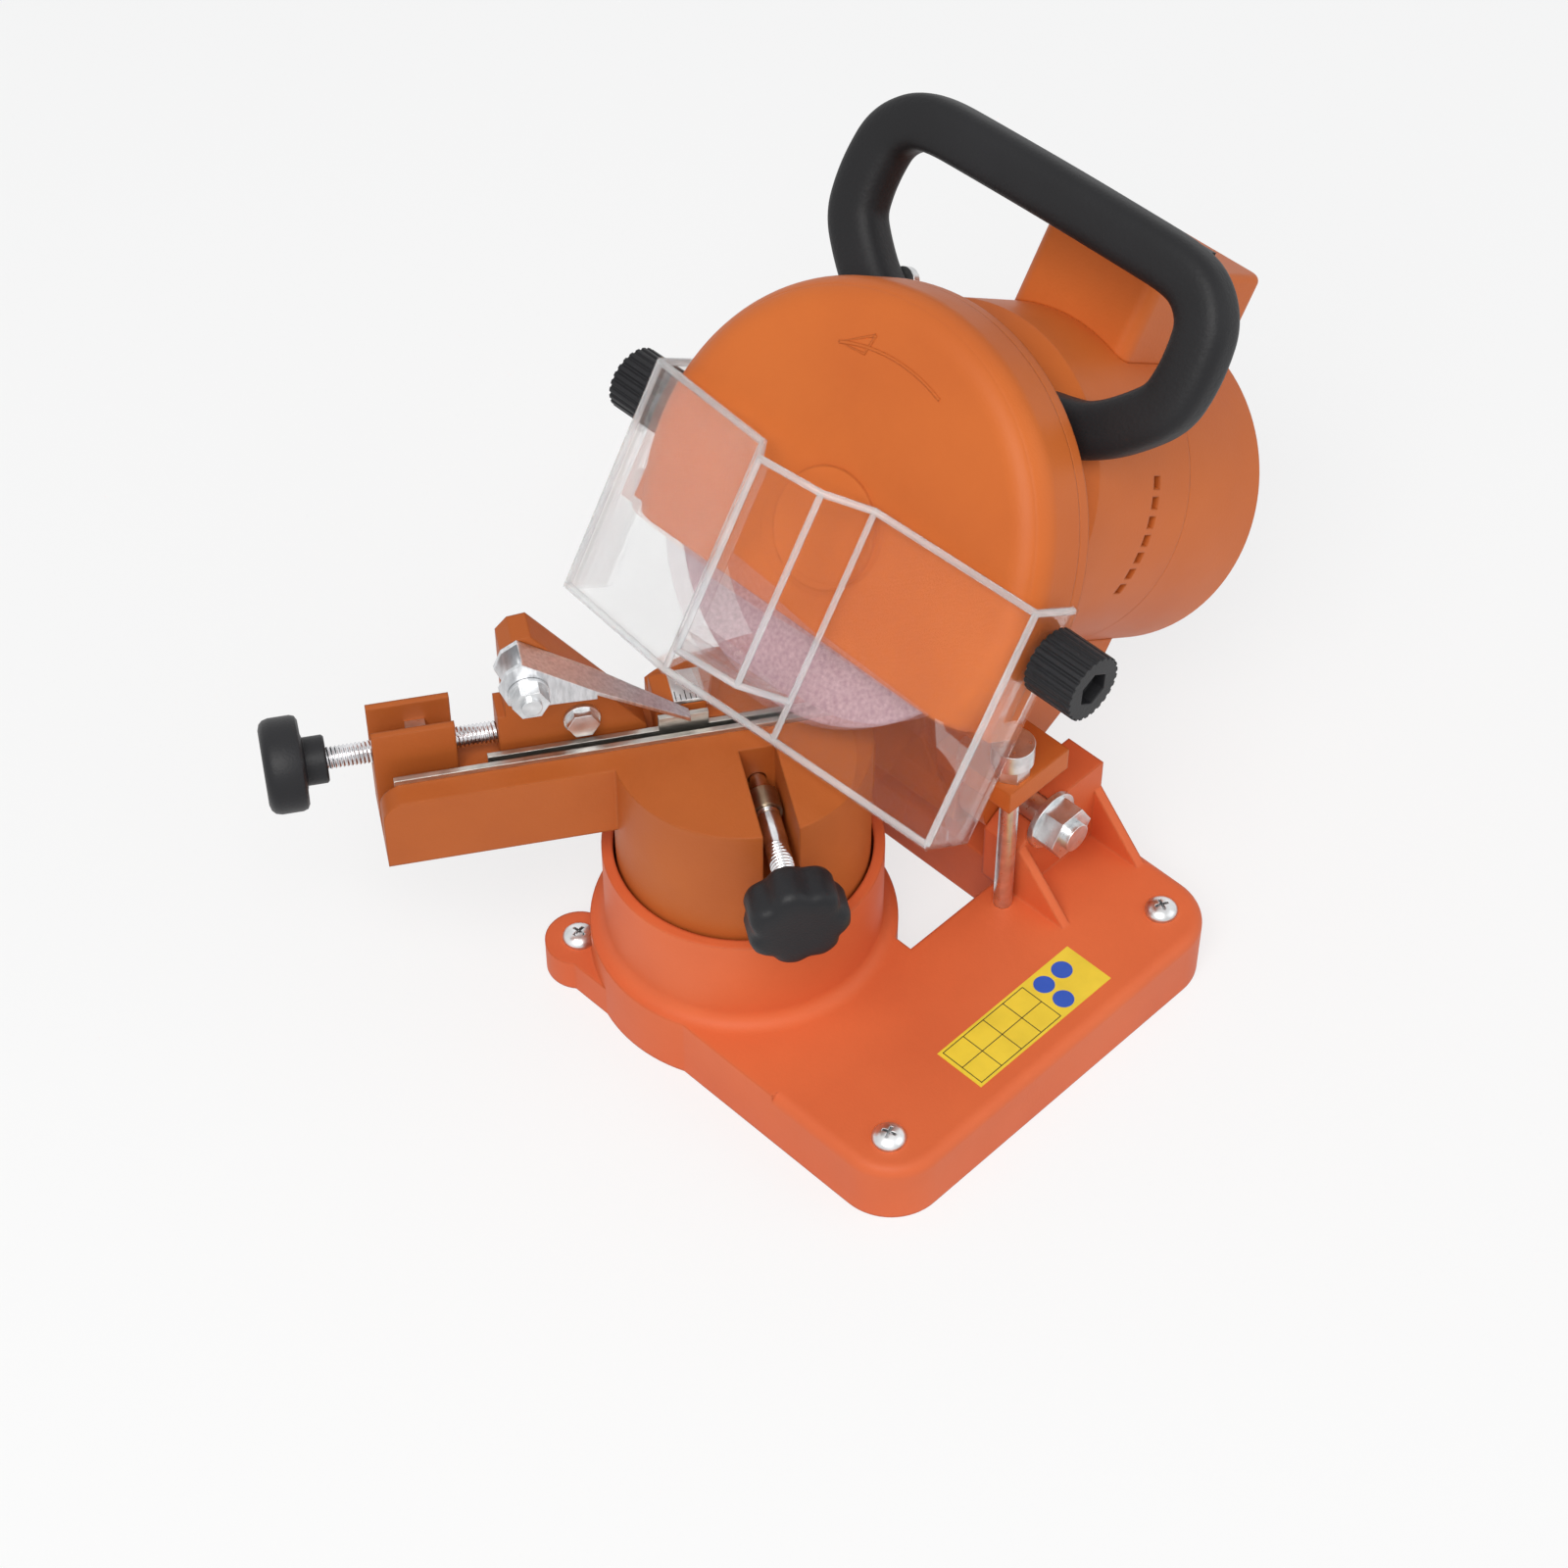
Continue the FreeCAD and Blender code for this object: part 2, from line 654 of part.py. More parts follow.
def guard_screw_places():
    reach = guard_radius - guard_wall - 6.0
    return [(reach * math.cos(math.radians(a)), reach * math.sin(math.radians(a))) for a in (20, 75, 120, 160)]


def make_guard_screws():
    screws = []
    for y, z in guard_screw_places():
        head = rod_x(3.4, guard_back, guard_back + 2.2, y, z)
        screws.append(head.fuse(rod_x(1.9, guard_seam - 3, guard_back, y, z)))
    return Part.makeCompound(screws)


def make_wheel():
    half = wheel_thickness / 2
    wheel = rod_x(wheel_radius, -half, half, 0, 0)
    rim = lambda e: e.BoundBox.YLength > wheel_radius and e.BoundBox.XLength < 0.01
    wheel = round_edges(wheel, 0.9, rim)
    return wheel.cut(rod_x(wheel_bore_radius, -5, 5, 0, 0))


def make_inner_flange():
    half = wheel_thickness / 2
    plate = rod_x(flange_radius, half, half + flange_thickness, 0, 0)
    pilot = rod_x(wheel_bore_radius, 0, half, 0, 0)
    return plate.fuse(pilot).cut(rod_x(shaft_radius, -5, 20, 0, 0))


def make_outer_flange():
    half = wheel_thickness / 2
    plate = rod_x(flange_radius, -half - 1.9, -half, 0, 0)
    return plate.cut(rod_x(shaft_radius, -9, 9, 0, 0))


def make_wheel_nut():
    start = -wheel_thickness / 2 - 1.9
    nut = hexagon_rod(14.0, 2.2, Vector(start, 0, 0), Vector(-1, 0, 0))
    return nut.cut(rod_x(shaft_radius, -20, 0, 0, 0))


def make_shaft():
    return rod_x(shaft_radius, shaft_front, shaft_back, 0, 0)


def make_armature():
    core = rod_x(armature_radius, stator_front, stator_back, 0, 0)
    winding = rod_x(armature_radius - 3, stator_front - 5, stator_back + 5, 0, 0)
    slots = core.fuse(winding)
    for i in range(12):
        a = math.pi * i / 6
        y, z = (armature_radius - 0.4) * math.cos(a), (armature_radius - 0.4) * math.sin(a)
        slots = slots.cut(rod_x(1.1, stator_front - 1, stator_back + 1, y, z))
    return slots.cut(rod_x(shaft_radius, 0, 130, 0, 0))


def make_commutator():
    ring = rod_x(10.5, stator_back + 7, stator_back + 19, 0, 0)
    return ring.cut(rod_x(shaft_radius, 0, 130, 0, 0))


def make_fan():
    s0 = stator_front - 12
    disc = rod_x(fan_radius, s0, s0 + 1.5, 0, 0)
    hub = rod_x(9.0, s0, s0 + 6, 0, 0)
    blades = []
    for i in range(9):
        blade = box(s0, s0 + 6, -0.8, 0.8, 8, fan_radius)
        blade.rotate(Vector(0, 0, 0), Vector(1, 0, 0), i * 40)
        blades.append(blade)
    return disc.fuse([hub] + blades).cut(rod_x(shaft_radius, 0, 130, 0, 0)).removeSplitter()


front_bearing_s = guard_back + 4.0
rear_bearing_s = shaft_back - bearing_width - 2.0


def make_bearings():
    rings = []
    for s0 in (front_bearing_s, rear_bearing_s):
        ring = rod_x(bearing_radius, s0, s0 + bearing_width, 0, 0)
        rings.append(ring.cut(rod_x(shaft_radius + running_clearance, s0 - 1, s0 + bearing_width + 1, 0, 0)))
    return Part.makeCompound(rings)


def make_stator():
    ring = rod_x(stator_radius, stator_front, stator_back, 0, 0)
    coils = rod_x(stator_radius - 3, stator_front - 4, stator_back + 4, 0, 0)
    feet = box(stator_front + 4, stator_back - 4, -4, 4, -motor_radius, motor_radius + motor_offset + 10)
    inside = rod_x(motor_radius - motor_wall, stator_front, stator_back, 0, motor_offset - wheel_rise)
    solid = ring.fuse([coils, feet.common(inside)])
    return solid.cut(rod_x(stator_bore, 0, 130, 0, 0)).removeSplitter()


def make_brush_holders():
    s0 = stator_back + 9
    pieces = []
    for sign in (-1, 1):
        y0, y1 = sorted((sign * 10.8, sign * 30))
        pieces.append(box(s0, s0 + 8, y0, y1, -4, 4))
    return Part.makeCompound(pieces)


def housing_profile(inset, front, back):
    r = motor_radius - inset
    nose = neck_radius - inset
    shape = Part.makeCone(nose, r, neck_back - guard_back, Vector(guard_back, 0, motor_offset), Vector(1, 0, 0))
    shape = shape.fuse(rod_x(r, neck_back, motor_back - motor_dome, 0, motor_offset))
    dome_back = motor_back - inset
    dome = Part.makeCone(r, r * 0.62, dome_back - motor_back + motor_dome,
                         Vector(motor_back - motor_dome, 0, motor_offset), Vector(1, 0, 0))
    shape = shape.fuse(dome)
    return shape.common(box(front, back, -100, 100, -100, 150))


def make_housing_front():
    outer = housing_profile(0, guard_back, housing_seam)
    inner = housing_profile(motor_wall, guard_back + motor_wall, housing_seam + 1)
    shell = outer.cut(inner)
    seat = rod_x(bearing_radius + 3, guard_back, front_bearing_s + bearing_width, 0, wheel_rise)
    shell = shell.fuse(seat)
    shell = shell.cut(rod_x(bearing_radius, front_bearing_s, front_bearing_s + bearing_width + 1, 0, wheel_rise))
    shell = shell.cut(rod_x(shaft_radius + 1, 0, 60, 0, wheel_rise))
    for y, z in guard_screw_places():
        if math.hypot(y, z - motor_offset) < neck_radius + 6:
            shell = shell.cut(rod_x(3.8, guard_back - 1, guard_back + 2.6, y, z))
    for i in range(vent_count):
        z = vent_low + vent_pitch * i
        shell = shell.cut(box(vent_s, vent_s + vent_size, -motor_radius - 1, -motor_radius + 11, z, z + vent_size))
    return shell.removeSplitter()


def make_housing_rear():
    outer = housing_profile(0, housing_seam, motor_back)
    inner = housing_profile(motor_wall, housing_seam - 1, motor_back - motor_wall)
    shell = outer.cut(inner)
    seat = rod_x(bearing_radius + 3, rear_bearing_s - 1, motor_back - 1, 0, wheel_rise)
    shell = shell.fuse(seat)
    shell = shell.cut(rod_x(bearing_radius, rear_bearing_s - 2, rear_bearing_s + bearing_width, 0, wheel_rise))
    shell = shell.cut(rod_x(shaft_radius + 1, 60, shaft_back + 1, 0, wheel_rise))
    for i in range(7):
        a = math.radians(-60 + 20 * i)
        y, z = 33 * math.sin(a), motor_offset + 33 * math.cos(a)
        vent = box(motor_back - 22, motor_back + 1, y - 1.4, y + 1.4, z - 5, z + 5)
        shell = shell.cut(vent)
    gland = rod_z(5.0, motor_offset - motor_radius - 5, motor_offset - motor_radius + 8, 112.0, 0)
    return shell.cut(gland).removeSplitter()


def make_cable_gland():
    low = motor_offset - motor_radius
    body = rod_z(5.0, low - 4, low + motor_wall, 112.0, 0)
    collar = rod_z(6.5, low - 4, low, 112.0, 0)
    housing = housing_profile(0, housing_seam, motor_back)
    collar = collar.cut(housing)
    return body.fuse(collar).cut(rod_z(3.2, low - 10, low + 10, 112.0, 0))


def make_switch_box():
    outer = box(box_front, box_back, box_right, box_left, motor_offset, box_top)
    outer = round_edges(outer, 4.0, upright)
    outer = round_edges(outer, 2.0, at_height(box_top))
    inner = box(box_front + box_wall, box_back - box_wall, box_right + box_wall, box_left - box_wall,
                0, box_top - box_wall)
    shell = outer.cut(inner)
    drum = rod_x(motor_radius, 0, 150, 0, motor_offset)
    shell = shell.cut(drum)
    mid = (box_left + box_right) / 2
    opening = box(switch_s - switch_length / 2, switch_s + switch_length / 2,
                  mid - switch_width / 2, mid + switch_width / 2, box_top - 5, box_top + 1)
    shell = shell.cut(opening)
    return shell.removeSplitter()


def make_switch_frame():
    mid = (box_left + box_right) / 2
    hl, hw = switch_length / 2, switch_width / 2
    flange = box(switch_s - hl - 1.5, switch_s + hl + 1.5, mid - hw - 1.5, mid + hw + 1.5, box_top, box_top + 1.6)
    body = box(switch_s - hl, switch_s + hl, mid - hw, mid + hw, box_top - 14, box_top)
    hole = box(switch_s - hl + 1.5, switch_s + hl - 1.5, mid - hw + 1.5, mid + hw - 1.5, box_top - 11, box_top + 5)
    return flange.fuse(body).cut(hole)


def make_rocker():
    mid = (box_left + box_right) / 2
    hl, hw = switch_length / 2 - 3.2, switch_width / 2 - 1.8
    z = box_top + 1.0
    points = [(switch_s - hl, z + 3.0), (switch_s, z + 0.8), (switch_s + hl, z + 0.4),
              (switch_s + hl, z - 2.5), (switch_s + 3, z - 6), (switch_s - 3, z - 6), (switch_s - hl, z - 1)]
    pivot = rod_y(rocker_pivot_radius, mid - hw, mid + hw, switch_s, box_top - rocker_pivot_depth)
    return profile_xz(points, mid - hw, mid + hw).fuse(pivot).removeSplitter()


def arm_outline(inset):
    return [(arm_left_s + inset, motor_offset), (arm_right_s - inset, motor_offset),
            (arm_right_s - inset, arm_bend_r), (hinge_s + knuckle_radius + 3 - inset, hinge_r + 2),
            (hinge_s + 6, hinge_r - knuckle_radius - 2 + inset),
            (hinge_s - 7, hinge_r - knuckle_radius - 2 + inset),
            (hinge_s - knuckle_radius - 4 + inset, hinge_r + 4), (arm_left_s + inset, -20)]


def make_arm():
    solid = profile_xz(arm_outline(0), arm_side_front, arm_side_back)
    hollow = profile_xz(arm_outline(arm_wall), arm_side_front + arm_wall, arm_side_back - arm_wall)
    keep = rod_y(knuckle_radius + 4, arm_side_front, arm_side_back, hinge_s, hinge_r)
    solid = solid.cut(hollow.cut(keep))
    solid = solid.cut(rod_x(motor_radius, 0, 150, 0, motor_offset))
    cone = Part.makeCone(neck_radius, motor_radius, neck_back - guard_back,
                         Vector(guard_back, 0, motor_offset), Vector(1, 0, 0))
    solid = solid.cut(cone)
    solid = solid.cut(rod_y(knuckle_radius, arm_side_front - 1, arm_side_back + 1, hinge_s, hinge_r))
    return biggest(solid)


def biggest(shape):
    return max(shape.Solids, key=lambda s: s.Volume)


def make_knuckle():
    y0 = front_ear_back + knuckle_gap - wheel_y
    barrel = rod_y(knuckle_radius, y0, knuckle_back, hinge_s, hinge_r)
    return barrel.cut(rod_y(hinge_bolt_radius + running_clearance, y0 - 1, knuckle_back + 1, hinge_s, hinge_r))


def handle_path():
    points = [(-22, handle_foot), (-36, handle_foot + 6), (-handle_half, handle_foot + 22),
              (-handle_half, handle_top - 14), (-handle_half + 12, handle_top),
              (handle_half - 12, handle_top), (handle_half, handle_top - 14),
              (handle_half, handle_foot + 22), (36, handle_foot + 6), (22, handle_foot)]
    return points


def make_handle():
    half = handle_width / 2
    bars = []
    points = handle_path()
    for (y0, z0), (y1, z1) in zip(points, points[1:]):
        length = math.hypot(y1 - y0, z1 - z0)
        bar = Part.makeBox(handle_depth, length, handle_width, Vector(handle_s, 0, -half))
        bar.rotate(Vector(0, 0, 0), Vector(1, 0, 0), math.degrees(math.atan2(z1 - z0, y1 - y0)))
        bar.translate(Vector(0, y0, z0))
        bars.append(bar)
    for y, z in points[1:-1]:
        bars.append(rod_x(half, handle_s, handle_s + handle_depth, y, z))
    loop = bars[0].fuse(bars[1:]).removeSplitter()
    cone = housing_profile(-0.0, guard_back, housing_seam)
    return biggest(loop.cut(cone))


def make_handle_screws():
    screws = []
    for sign in (-1, 1):
        y, z = sign * 35.0, handle_foot + 10
        screws.append(rod_x(3.6, handle_s + handle_depth, handle_s + handle_depth + 2.4, y, z))
    return Part.makeCompound(screws)


def make_stop_lug():
    return box(lug_x - 6, lug_x + 16, lug_y - 5, wheel_y + arm_side_front, lug_z, lug_z + 7).cut(
        rod_z(stop_screw_radius, 0, 100, lug_x, lug_y))


def make_stop_screw():
    shank = rod_z(stop_screw_radius, base_height + 0.1, lug_z + 12, lug_x, lug_y)
    knob = rod_z(5.5, lug_z + 12, lug_z + 18, lug_x, lug_y)
    return shank.fuse(knob)


def make_stop_nut():
    nut = hexagon_rod(8.0, 4.0, Vector(lug_x, lug_y, lug_z + 7), Vector(0, 0, 1))
    return nut.cut(rod_z(stop_screw_radius + 0.02, 0, 100, lug_x, lug_y))


def thickened(points, wall):
    normals = []
    for (x0, y0), (x1, y1) in zip(points, points[1:]):
        length = math.hypot(x1 - x0, y1 - y0)
        normals.append(((y0 - y1) / length, (x1 - x0) / length))
    inner = []
    for i, (x, y) in enumerate(points):
        before = normals[max(i - 1, 0)]
        after = normals[min(i, len(normals) - 1)]
        share = wall / (1 + before[0] * after[0] + before[1] * after[1])
        inner.append((x + share * (before[0] + after[0]), y + share * (before[1] + after[1])))
    return points + inner[::-1]


def wheel_plane_prism(points, low, high):
    wire = Part.makePolygon([Vector(x, y, low) for x, y in points + points[:1]])
    return Part.Face(wire).extrude(Vector(0, 0, high - low))


def make_shield():
    left_side = [(shield_flange_back, shield_half), (shield_corner, shield_half)]
    right_side = [(shield_corner, -shield_half), (shield_flange_back, -shield_half)]
    bay = [shield_fold_left, shield_bay_left, shield_bay_right, shield_fold_right]
    flat = [shield_fold_left, shield_fold_right]
    upper = wheel_plane_prism(thickened(left_side + bay + right_side, shield_wall), shield_sill, shield_top)
    lower = wheel_plane_prism(thickened(left_side + flat + right_side, shield_wall), shield_bottom, shield_sill)
    sill_back = [(x + shield_wall, y) for x, y in (shield_fold_right, shield_fold_left)]
    sill = wheel_plane_prism(bay + sill_back, shield_sill, shield_sill + shield_wall)
    shell = upper.fuse([lower, sill])
    for sign in (-1, 1):
        y0, y1 = sorted((sign * (shield_half - shield_wall - 1), sign * (shield_half + 1)))
        slot = box(3.0 - shield_slot_half, 3.0 + shield_slot_half, y0, y1,
                   -shield_slot_half - shield_slot_length, shield_slot_half)
        shell = shell.cut(slot)
    return shell.removeSplitter()


def make_shield_bolts():
    bolts = []
    for sign in (-1, 1):
        y0, y1 = sorted((sign * (guard_radius - 7), sign * (shield_half + 9)))
        bolts.append(rod_y(shield_bolt_radius, y0, y1, 3.0, 0))
    return Part.makeCompound(bolts)


def make_shield_knob(sign):
    start = sign * (shield_half + shield_gap)
    end = sign * (shield_half + shield_gap + shield_knob_length)
    y0, y1 = sorted((start, end))
    knob = rod_y(shield_knob_radius, y0, y1, 3.0, 0)
    for i in range(24):
        a = 2 * math.pi * i / 24
        y = 3.0 + shield_knob_radius * math.cos(a)
        z = shield_knob_radius * math.sin(a)
        knob = knob.cut(rod_y(0.55, y0 - 1, y1 + 1, y, z))
    h0, h1 = sorted((start, sign * (shield_half + 9)))
    knob = knob.cut(rod_y(shield_bolt_radius + 0.04, h0 - 1, h1 + 1, 3.0, 0))
    recess = hexagon_rod(8.0, 3.5, Vector(3.0, end, 0), Vector(0, -sign, 0))
    return knob.cut(recess)


def save(name, shape):
    shape = shape.copy()
    shape.translate(origin_shift)
    shape.exportStep("parts/" + name + ".step")


base_nodes = {
    "base": make_base,
    "hinge_bolt": make_hinge_bolt,
    "hinge_washers": make_hinge_washers,
    "hinge_nut": make_hinge_nut,
    "hinge_spring": make_hinge_spring,
}
vise_nodes = {
    "vise_body": make_vise_body,
    "front_rail": make_front_rail,
    "jaw_plate": make_jaw_plate,
    "scale_plate": make_scale_plate,
    "clamp_rod": make_clamp_rod,
    "clamp_collar": make_clamp_collar,
    "clamp_knob": make_clamp_knob,
    "feed_nut": make_feed_nut,
    "stop_block": make_stop_block,
    "guide_bolt": make_guide_bolt,
    "stop_nut": make_stop_washer,
    "pawl": make_pawl,
    "pawl_bolt": make_pawl_bolt,
    "feed_screw": make_feed_screw,
    "feed_knob": make_feed_knob,
    "pivot_stud": make_pivot_stud,
    "lock_washer": make_lock_washer,
    "lock_knob": make_lock_knob,
}
head_nodes = {
    "guard_cover": make_guard_cover,
    "guard_back": make_guard_back,
    "guard_screws": make_guard_screws,
    "housing_front": make_housing_front,
    "housing_rear": make_housing_rear,
    "cable_gland": make_cable_gland,
    "switch_box": make_switch_box,
    "switch_frame": make_switch_frame,
    "rocker": make_rocker,
    "arm": make_arm,
    "knuckle": make_knuckle,
    "handle": make_handle,
    "handle_screws": make_handle_screws,
    "shield": make_shield,
    "shield_bolts": make_shield_bolts,
    "shield_knob_left": lambda: make_shield_knob(1),
    "shield_knob_right": lambda: make_shield_knob(-1),
}
spindle_nodes = {
    "grinding_wheel": make_wheel,
    "inner_flange": make_inner_flange,
    "outer_flange": make_outer_flange,
    "wheel_nut": make_wheel_nut,
    "shaft": make_shaft,
    "armature": make_armature,
    "commutator": make_commutator,
    "fan": make_fan,
    "bearings": make_bearings,
    "stator": make_stator,
    "brush_holders": make_brush_holders,
}
rest_nodes = {
    "stop_lug": make_stop_lug,
    "stop_screw": make_stop_screw,
    "stop_screw_nut": make_stop_nut,
}

os.makedirs("parts", exist_ok=True)
for name, make in base_nodes.items():
    save(name, make())
for name, make in vise_nodes.items():
    save(name, place_vise(make()))
for name, make in head_nodes.items():
    save(name, place_head(make()))
for name, make in spindle_nodes.items():
    save(name, place_spindle(make()))
for name, make in rest_nodes.items():
    save(name, make())
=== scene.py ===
import bmesh
import bpy
import math
from mathutils import Matrix, Vector


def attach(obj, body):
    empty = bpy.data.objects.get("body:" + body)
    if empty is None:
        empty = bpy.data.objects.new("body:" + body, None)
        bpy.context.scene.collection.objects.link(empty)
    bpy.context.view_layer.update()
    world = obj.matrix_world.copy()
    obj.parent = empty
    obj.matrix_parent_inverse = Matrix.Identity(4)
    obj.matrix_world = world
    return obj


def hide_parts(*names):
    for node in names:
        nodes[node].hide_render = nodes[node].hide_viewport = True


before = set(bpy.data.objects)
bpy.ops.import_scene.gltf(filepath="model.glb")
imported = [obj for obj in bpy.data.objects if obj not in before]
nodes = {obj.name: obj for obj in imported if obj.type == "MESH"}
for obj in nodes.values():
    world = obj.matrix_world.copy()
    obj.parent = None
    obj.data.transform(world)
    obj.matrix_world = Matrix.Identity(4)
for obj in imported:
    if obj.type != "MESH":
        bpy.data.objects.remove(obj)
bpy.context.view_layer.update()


# Studio: a pale floor at bench height, an even white surround and two large soft lamps.
# The camera stands where the photographer stood, front left of the machine and well above it.

def linked(name, data):
    holder = bpy.data.objects.new(name, data)
    bpy.context.scene.collection.objects.link(holder)
    return holder


def area_lamp(name, spot, size, watts, warmth):
    lamp = bpy.data.lights.new(name, "AREA")
    lamp.size = size
    lamp.energy = watts
    lamp.color = warmth
    holder = linked(name, lamp)
    holder.location = spot
    holder.rotation_euler = (lamp_aim - Vector(spot)).to_track_quat("-Z", "Y").to_euler()


def new_material(name):
    material = bpy.data.materials.new(name)
    material.use_nodes = True
    tree = material.node_tree
    return material, tree, tree.nodes["Principled BSDF"]


def seen_share(tree, share):
    path_kind = tree.nodes.new("ShaderNodeLightPath")
    seen = path_kind.outputs["Is Camera Ray"]
    for kind in ("Is Glossy Ray", "Is Transmission Ray"):
        join = tree.nodes.new("ShaderNodeMath")
        join.operation = "MAXIMUM"
        tree.links.new(seen, join.inputs[0])
        tree.links.new(path_kind.outputs[kind], join.inputs[1])
        seen = join.outputs["Value"]
    part = tree.nodes.new("ShaderNodeMath")
    part.operation = "MULTIPLY"
    part.inputs[1].default_value = share
    tree.links.new(seen, part.inputs[0])
    return part.outputs["Value"]


lamp_aim = Vector((0.05, 0.05, 0.08))
area_lamp("window_lamp", (-0.9, -0.5, 1.5), 1.1, 23.0, (1.0, 0.985, 0.96))
area_lamp("fill_lamp", (0.9, -1.3, 1.0), 1.4, 5.0, (0.97, 0.985, 1.0))

camera_data = bpy.data.cameras.new("bench_view")
camera_data.lens = 81.0
camera_data.sensor_width = 36.0
camera_data.clip_end = 20.0
camera = linked("bench_view", camera_data)
camera.location = (-0.3845, -0.3443, 0.7217)
camera_aim = Vector((0.4756, 0.4707, -0.7431))
camera.rotation_euler = camera_aim.to_track_quat("-Z", "Y").to_euler()
bpy.context.scene.camera = camera
bpy.context.scene.view_settings.view_transform = "Standard"

surround = bpy.data.worlds.new("surround")
surround.use_nodes = True
bpy.context.scene.world = surround
tree = surround.node_tree
room_light = tree.nodes["Background"]
room_light.inputs["Color"].default_value = (0.93, 0.96, 1.0, 1.0)
room_light.inputs["Strength"].default_value = 0.42
seen_white = tree.nodes.new("ShaderNodeBackground")
seen_white.inputs["Color"].default_value = (1.0, 1.0, 1.0, 1.0)
seen_white.inputs["Strength"].default_value = 1.0
blend_white = tree.nodes.new("ShaderNodeMixShader")
tree.links.new(seen_share(tree, 1.0), blend_white.inputs["Fac"])
tree.links.new(room_light.outputs["Background"], blend_white.inputs[1])
tree.links.new(seen_white.outputs["Background"], blend_white.inputs[2])
tree.links.new(blend_white.outputs["Shader"], tree.nodes["World Output"].inputs["Surface"])

bpy.ops.mesh.primitive_plane_add(size=8.0, location=(0, 0, -0.0002))
floor = bpy.context.object
floor.name = "bench_floor"
floor_paint, tree, skin = new_material("pale_floor")
skin.inputs["Base Color"].default_value = (0.86, 0.86, 0.855, 1.0)
skin.inputs["Roughness"].default_value = 0.8
seen_pale = tree.nodes.new("ShaderNodeEmission")
seen_pale.inputs["Color"].default_value = (1.0, 1.0, 1.0, 1.0)
seen_pale.inputs["Strength"].default_value = 1.0
blend_pale = tree.nodes.new("ShaderNodeMixShader")
tree.links.new(seen_share(tree, 0.72), blend_pale.inputs["Fac"])
tree.links.new(skin.outputs["BSDF"], blend_pale.inputs[1])
tree.links.new(seen_pale.outputs["Emission"], blend_pale.inputs[2])
tree.links.new(blend_pale.outputs["Shader"], tree.nodes["Material Output"].inputs["Surface"])
floor.data.materials.append(floor_paint)


# Base: one hollow orange moulding with the round cup for the vise, two hinge ears and ribs.
# Its skin is semi-matt, with a fine spark-eroded grain and slightly darker, duller patches.

def painted(node_name, material):
    node = nodes[node_name]
    node.data.materials.clear()
    node.data.materials.append(material)
    for face in node.data.polygons:
        face.material_index = 0


def soft_edge_normal(tree, radius, grain_output, strength, height):
    edge = tree.nodes.new("ShaderNodeBevel")
    edge.samples = 6
    edge.inputs["Radius"].default_value = radius
    bump = tree.nodes.new("ShaderNodeBump")
    bump.inputs["Strength"].default_value = strength
    bump.inputs["Distance"].default_value = height
    tree.links.new(grain_output, bump.inputs["Height"])
    tree.links.new(edge.outputs["Normal"], bump.inputs["Normal"])
    return bump.outputs["Normal"]


def noise(tree, scale, detail, stretch=(1, 1, 1)):
    own_space = tree.nodes.new("ShaderNodeTexCoord")
    fit = tree.nodes.new("ShaderNodeMapping")
    fit.inputs["Scale"].default_value = stretch
    cloud = tree.nodes.new("ShaderNodeTexNoise")
    cloud.inputs["Scale"].default_value = scale
    cloud.inputs["Detail"].default_value = detail
    tree.links.new(own_space.outputs["Object"], fit.inputs["Vector"])
    tree.links.new(fit.outputs["Vector"], cloud.inputs["Vector"])
    return cloud.outputs["Fac"]


def ramp(tree, source, low_at, low, high_at, high):
    band = tree.nodes.new("ShaderNodeValToRGB")
    band.color_ramp.elements[0].position = low_at
    band.color_ramp.elements[0].color = (*low, 1.0)
    band.color_ramp.elements[1].position = high_at
    band.color_ramp.elements[1].color = (*high, 1.0)
    tree.links.new(source, band.inputs["Fac"])
    return band.outputs["Color"]


def spread(tree, source, low, high):
    fit = tree.nodes.new("ShaderNodeMapRange")
    fit.inputs["To Min"].default_value = low
    fit.inputs["To Max"].default_value = high
    tree.links.new(source, fit.inputs["Value"])
    return fit.outputs["Result"]


def moulded_plastic(name, colour, shade, rough, grain_scale=1400.0, grain=0.25, edge=0.0007):
    material, tree, skin = new_material(name)
    patches = noise(tree, 22.0, 4.0)
    tree.links.new(ramp(tree, patches, 0.3, shade, 0.7, colour), skin.inputs["Base Color"])
    tree.links.new(spread(tree, noise(tree, 60.0, 3.0), rough - 0.07, rough + 0.07), skin.inputs["Roughness"])
    tree.links.new(soft_edge_normal(tree, edge, noise(tree, grain_scale, 2.0), grain, 0.0002),
                   skin.inputs["Normal"])
    skin.inputs["Specular IOR Level"].default_value = 0.22
    return material


base_plastic = moulded_plastic("base_plastic", (0.74, 0.155, 0.052), (0.66, 0.13, 0.044), 0.5, edge=0.0012)
painted("base", base_plastic)


# Bench screws: three zinc pan heads with a cross recess.
# They are driven through the base into the bench.

def zinc_plate(name, colour, rough, stretch=(1, 1, 1)):
    material, tree, skin = new_material(name)
    spangle = noise(tree, 260.0, 5.0, stretch)
    dull = tuple(0.72 * c for c in colour)
    tree.links.new(ramp(tree, spangle, 0.3, dull, 0.65, colour), skin.inputs["Base Color"])
    tree.links.new(spread(tree, noise(tree, 500.0, 3.0, stretch), rough - 0.1, rough + 0.12),
                   skin.inputs["Roughness"])
    tree.links.new(soft_edge_normal(tree, 0.0003, spangle, 0.12, 0.0001), skin.inputs["Normal"])
    skin.inputs["Metallic"].default_value = 1.0
    return material


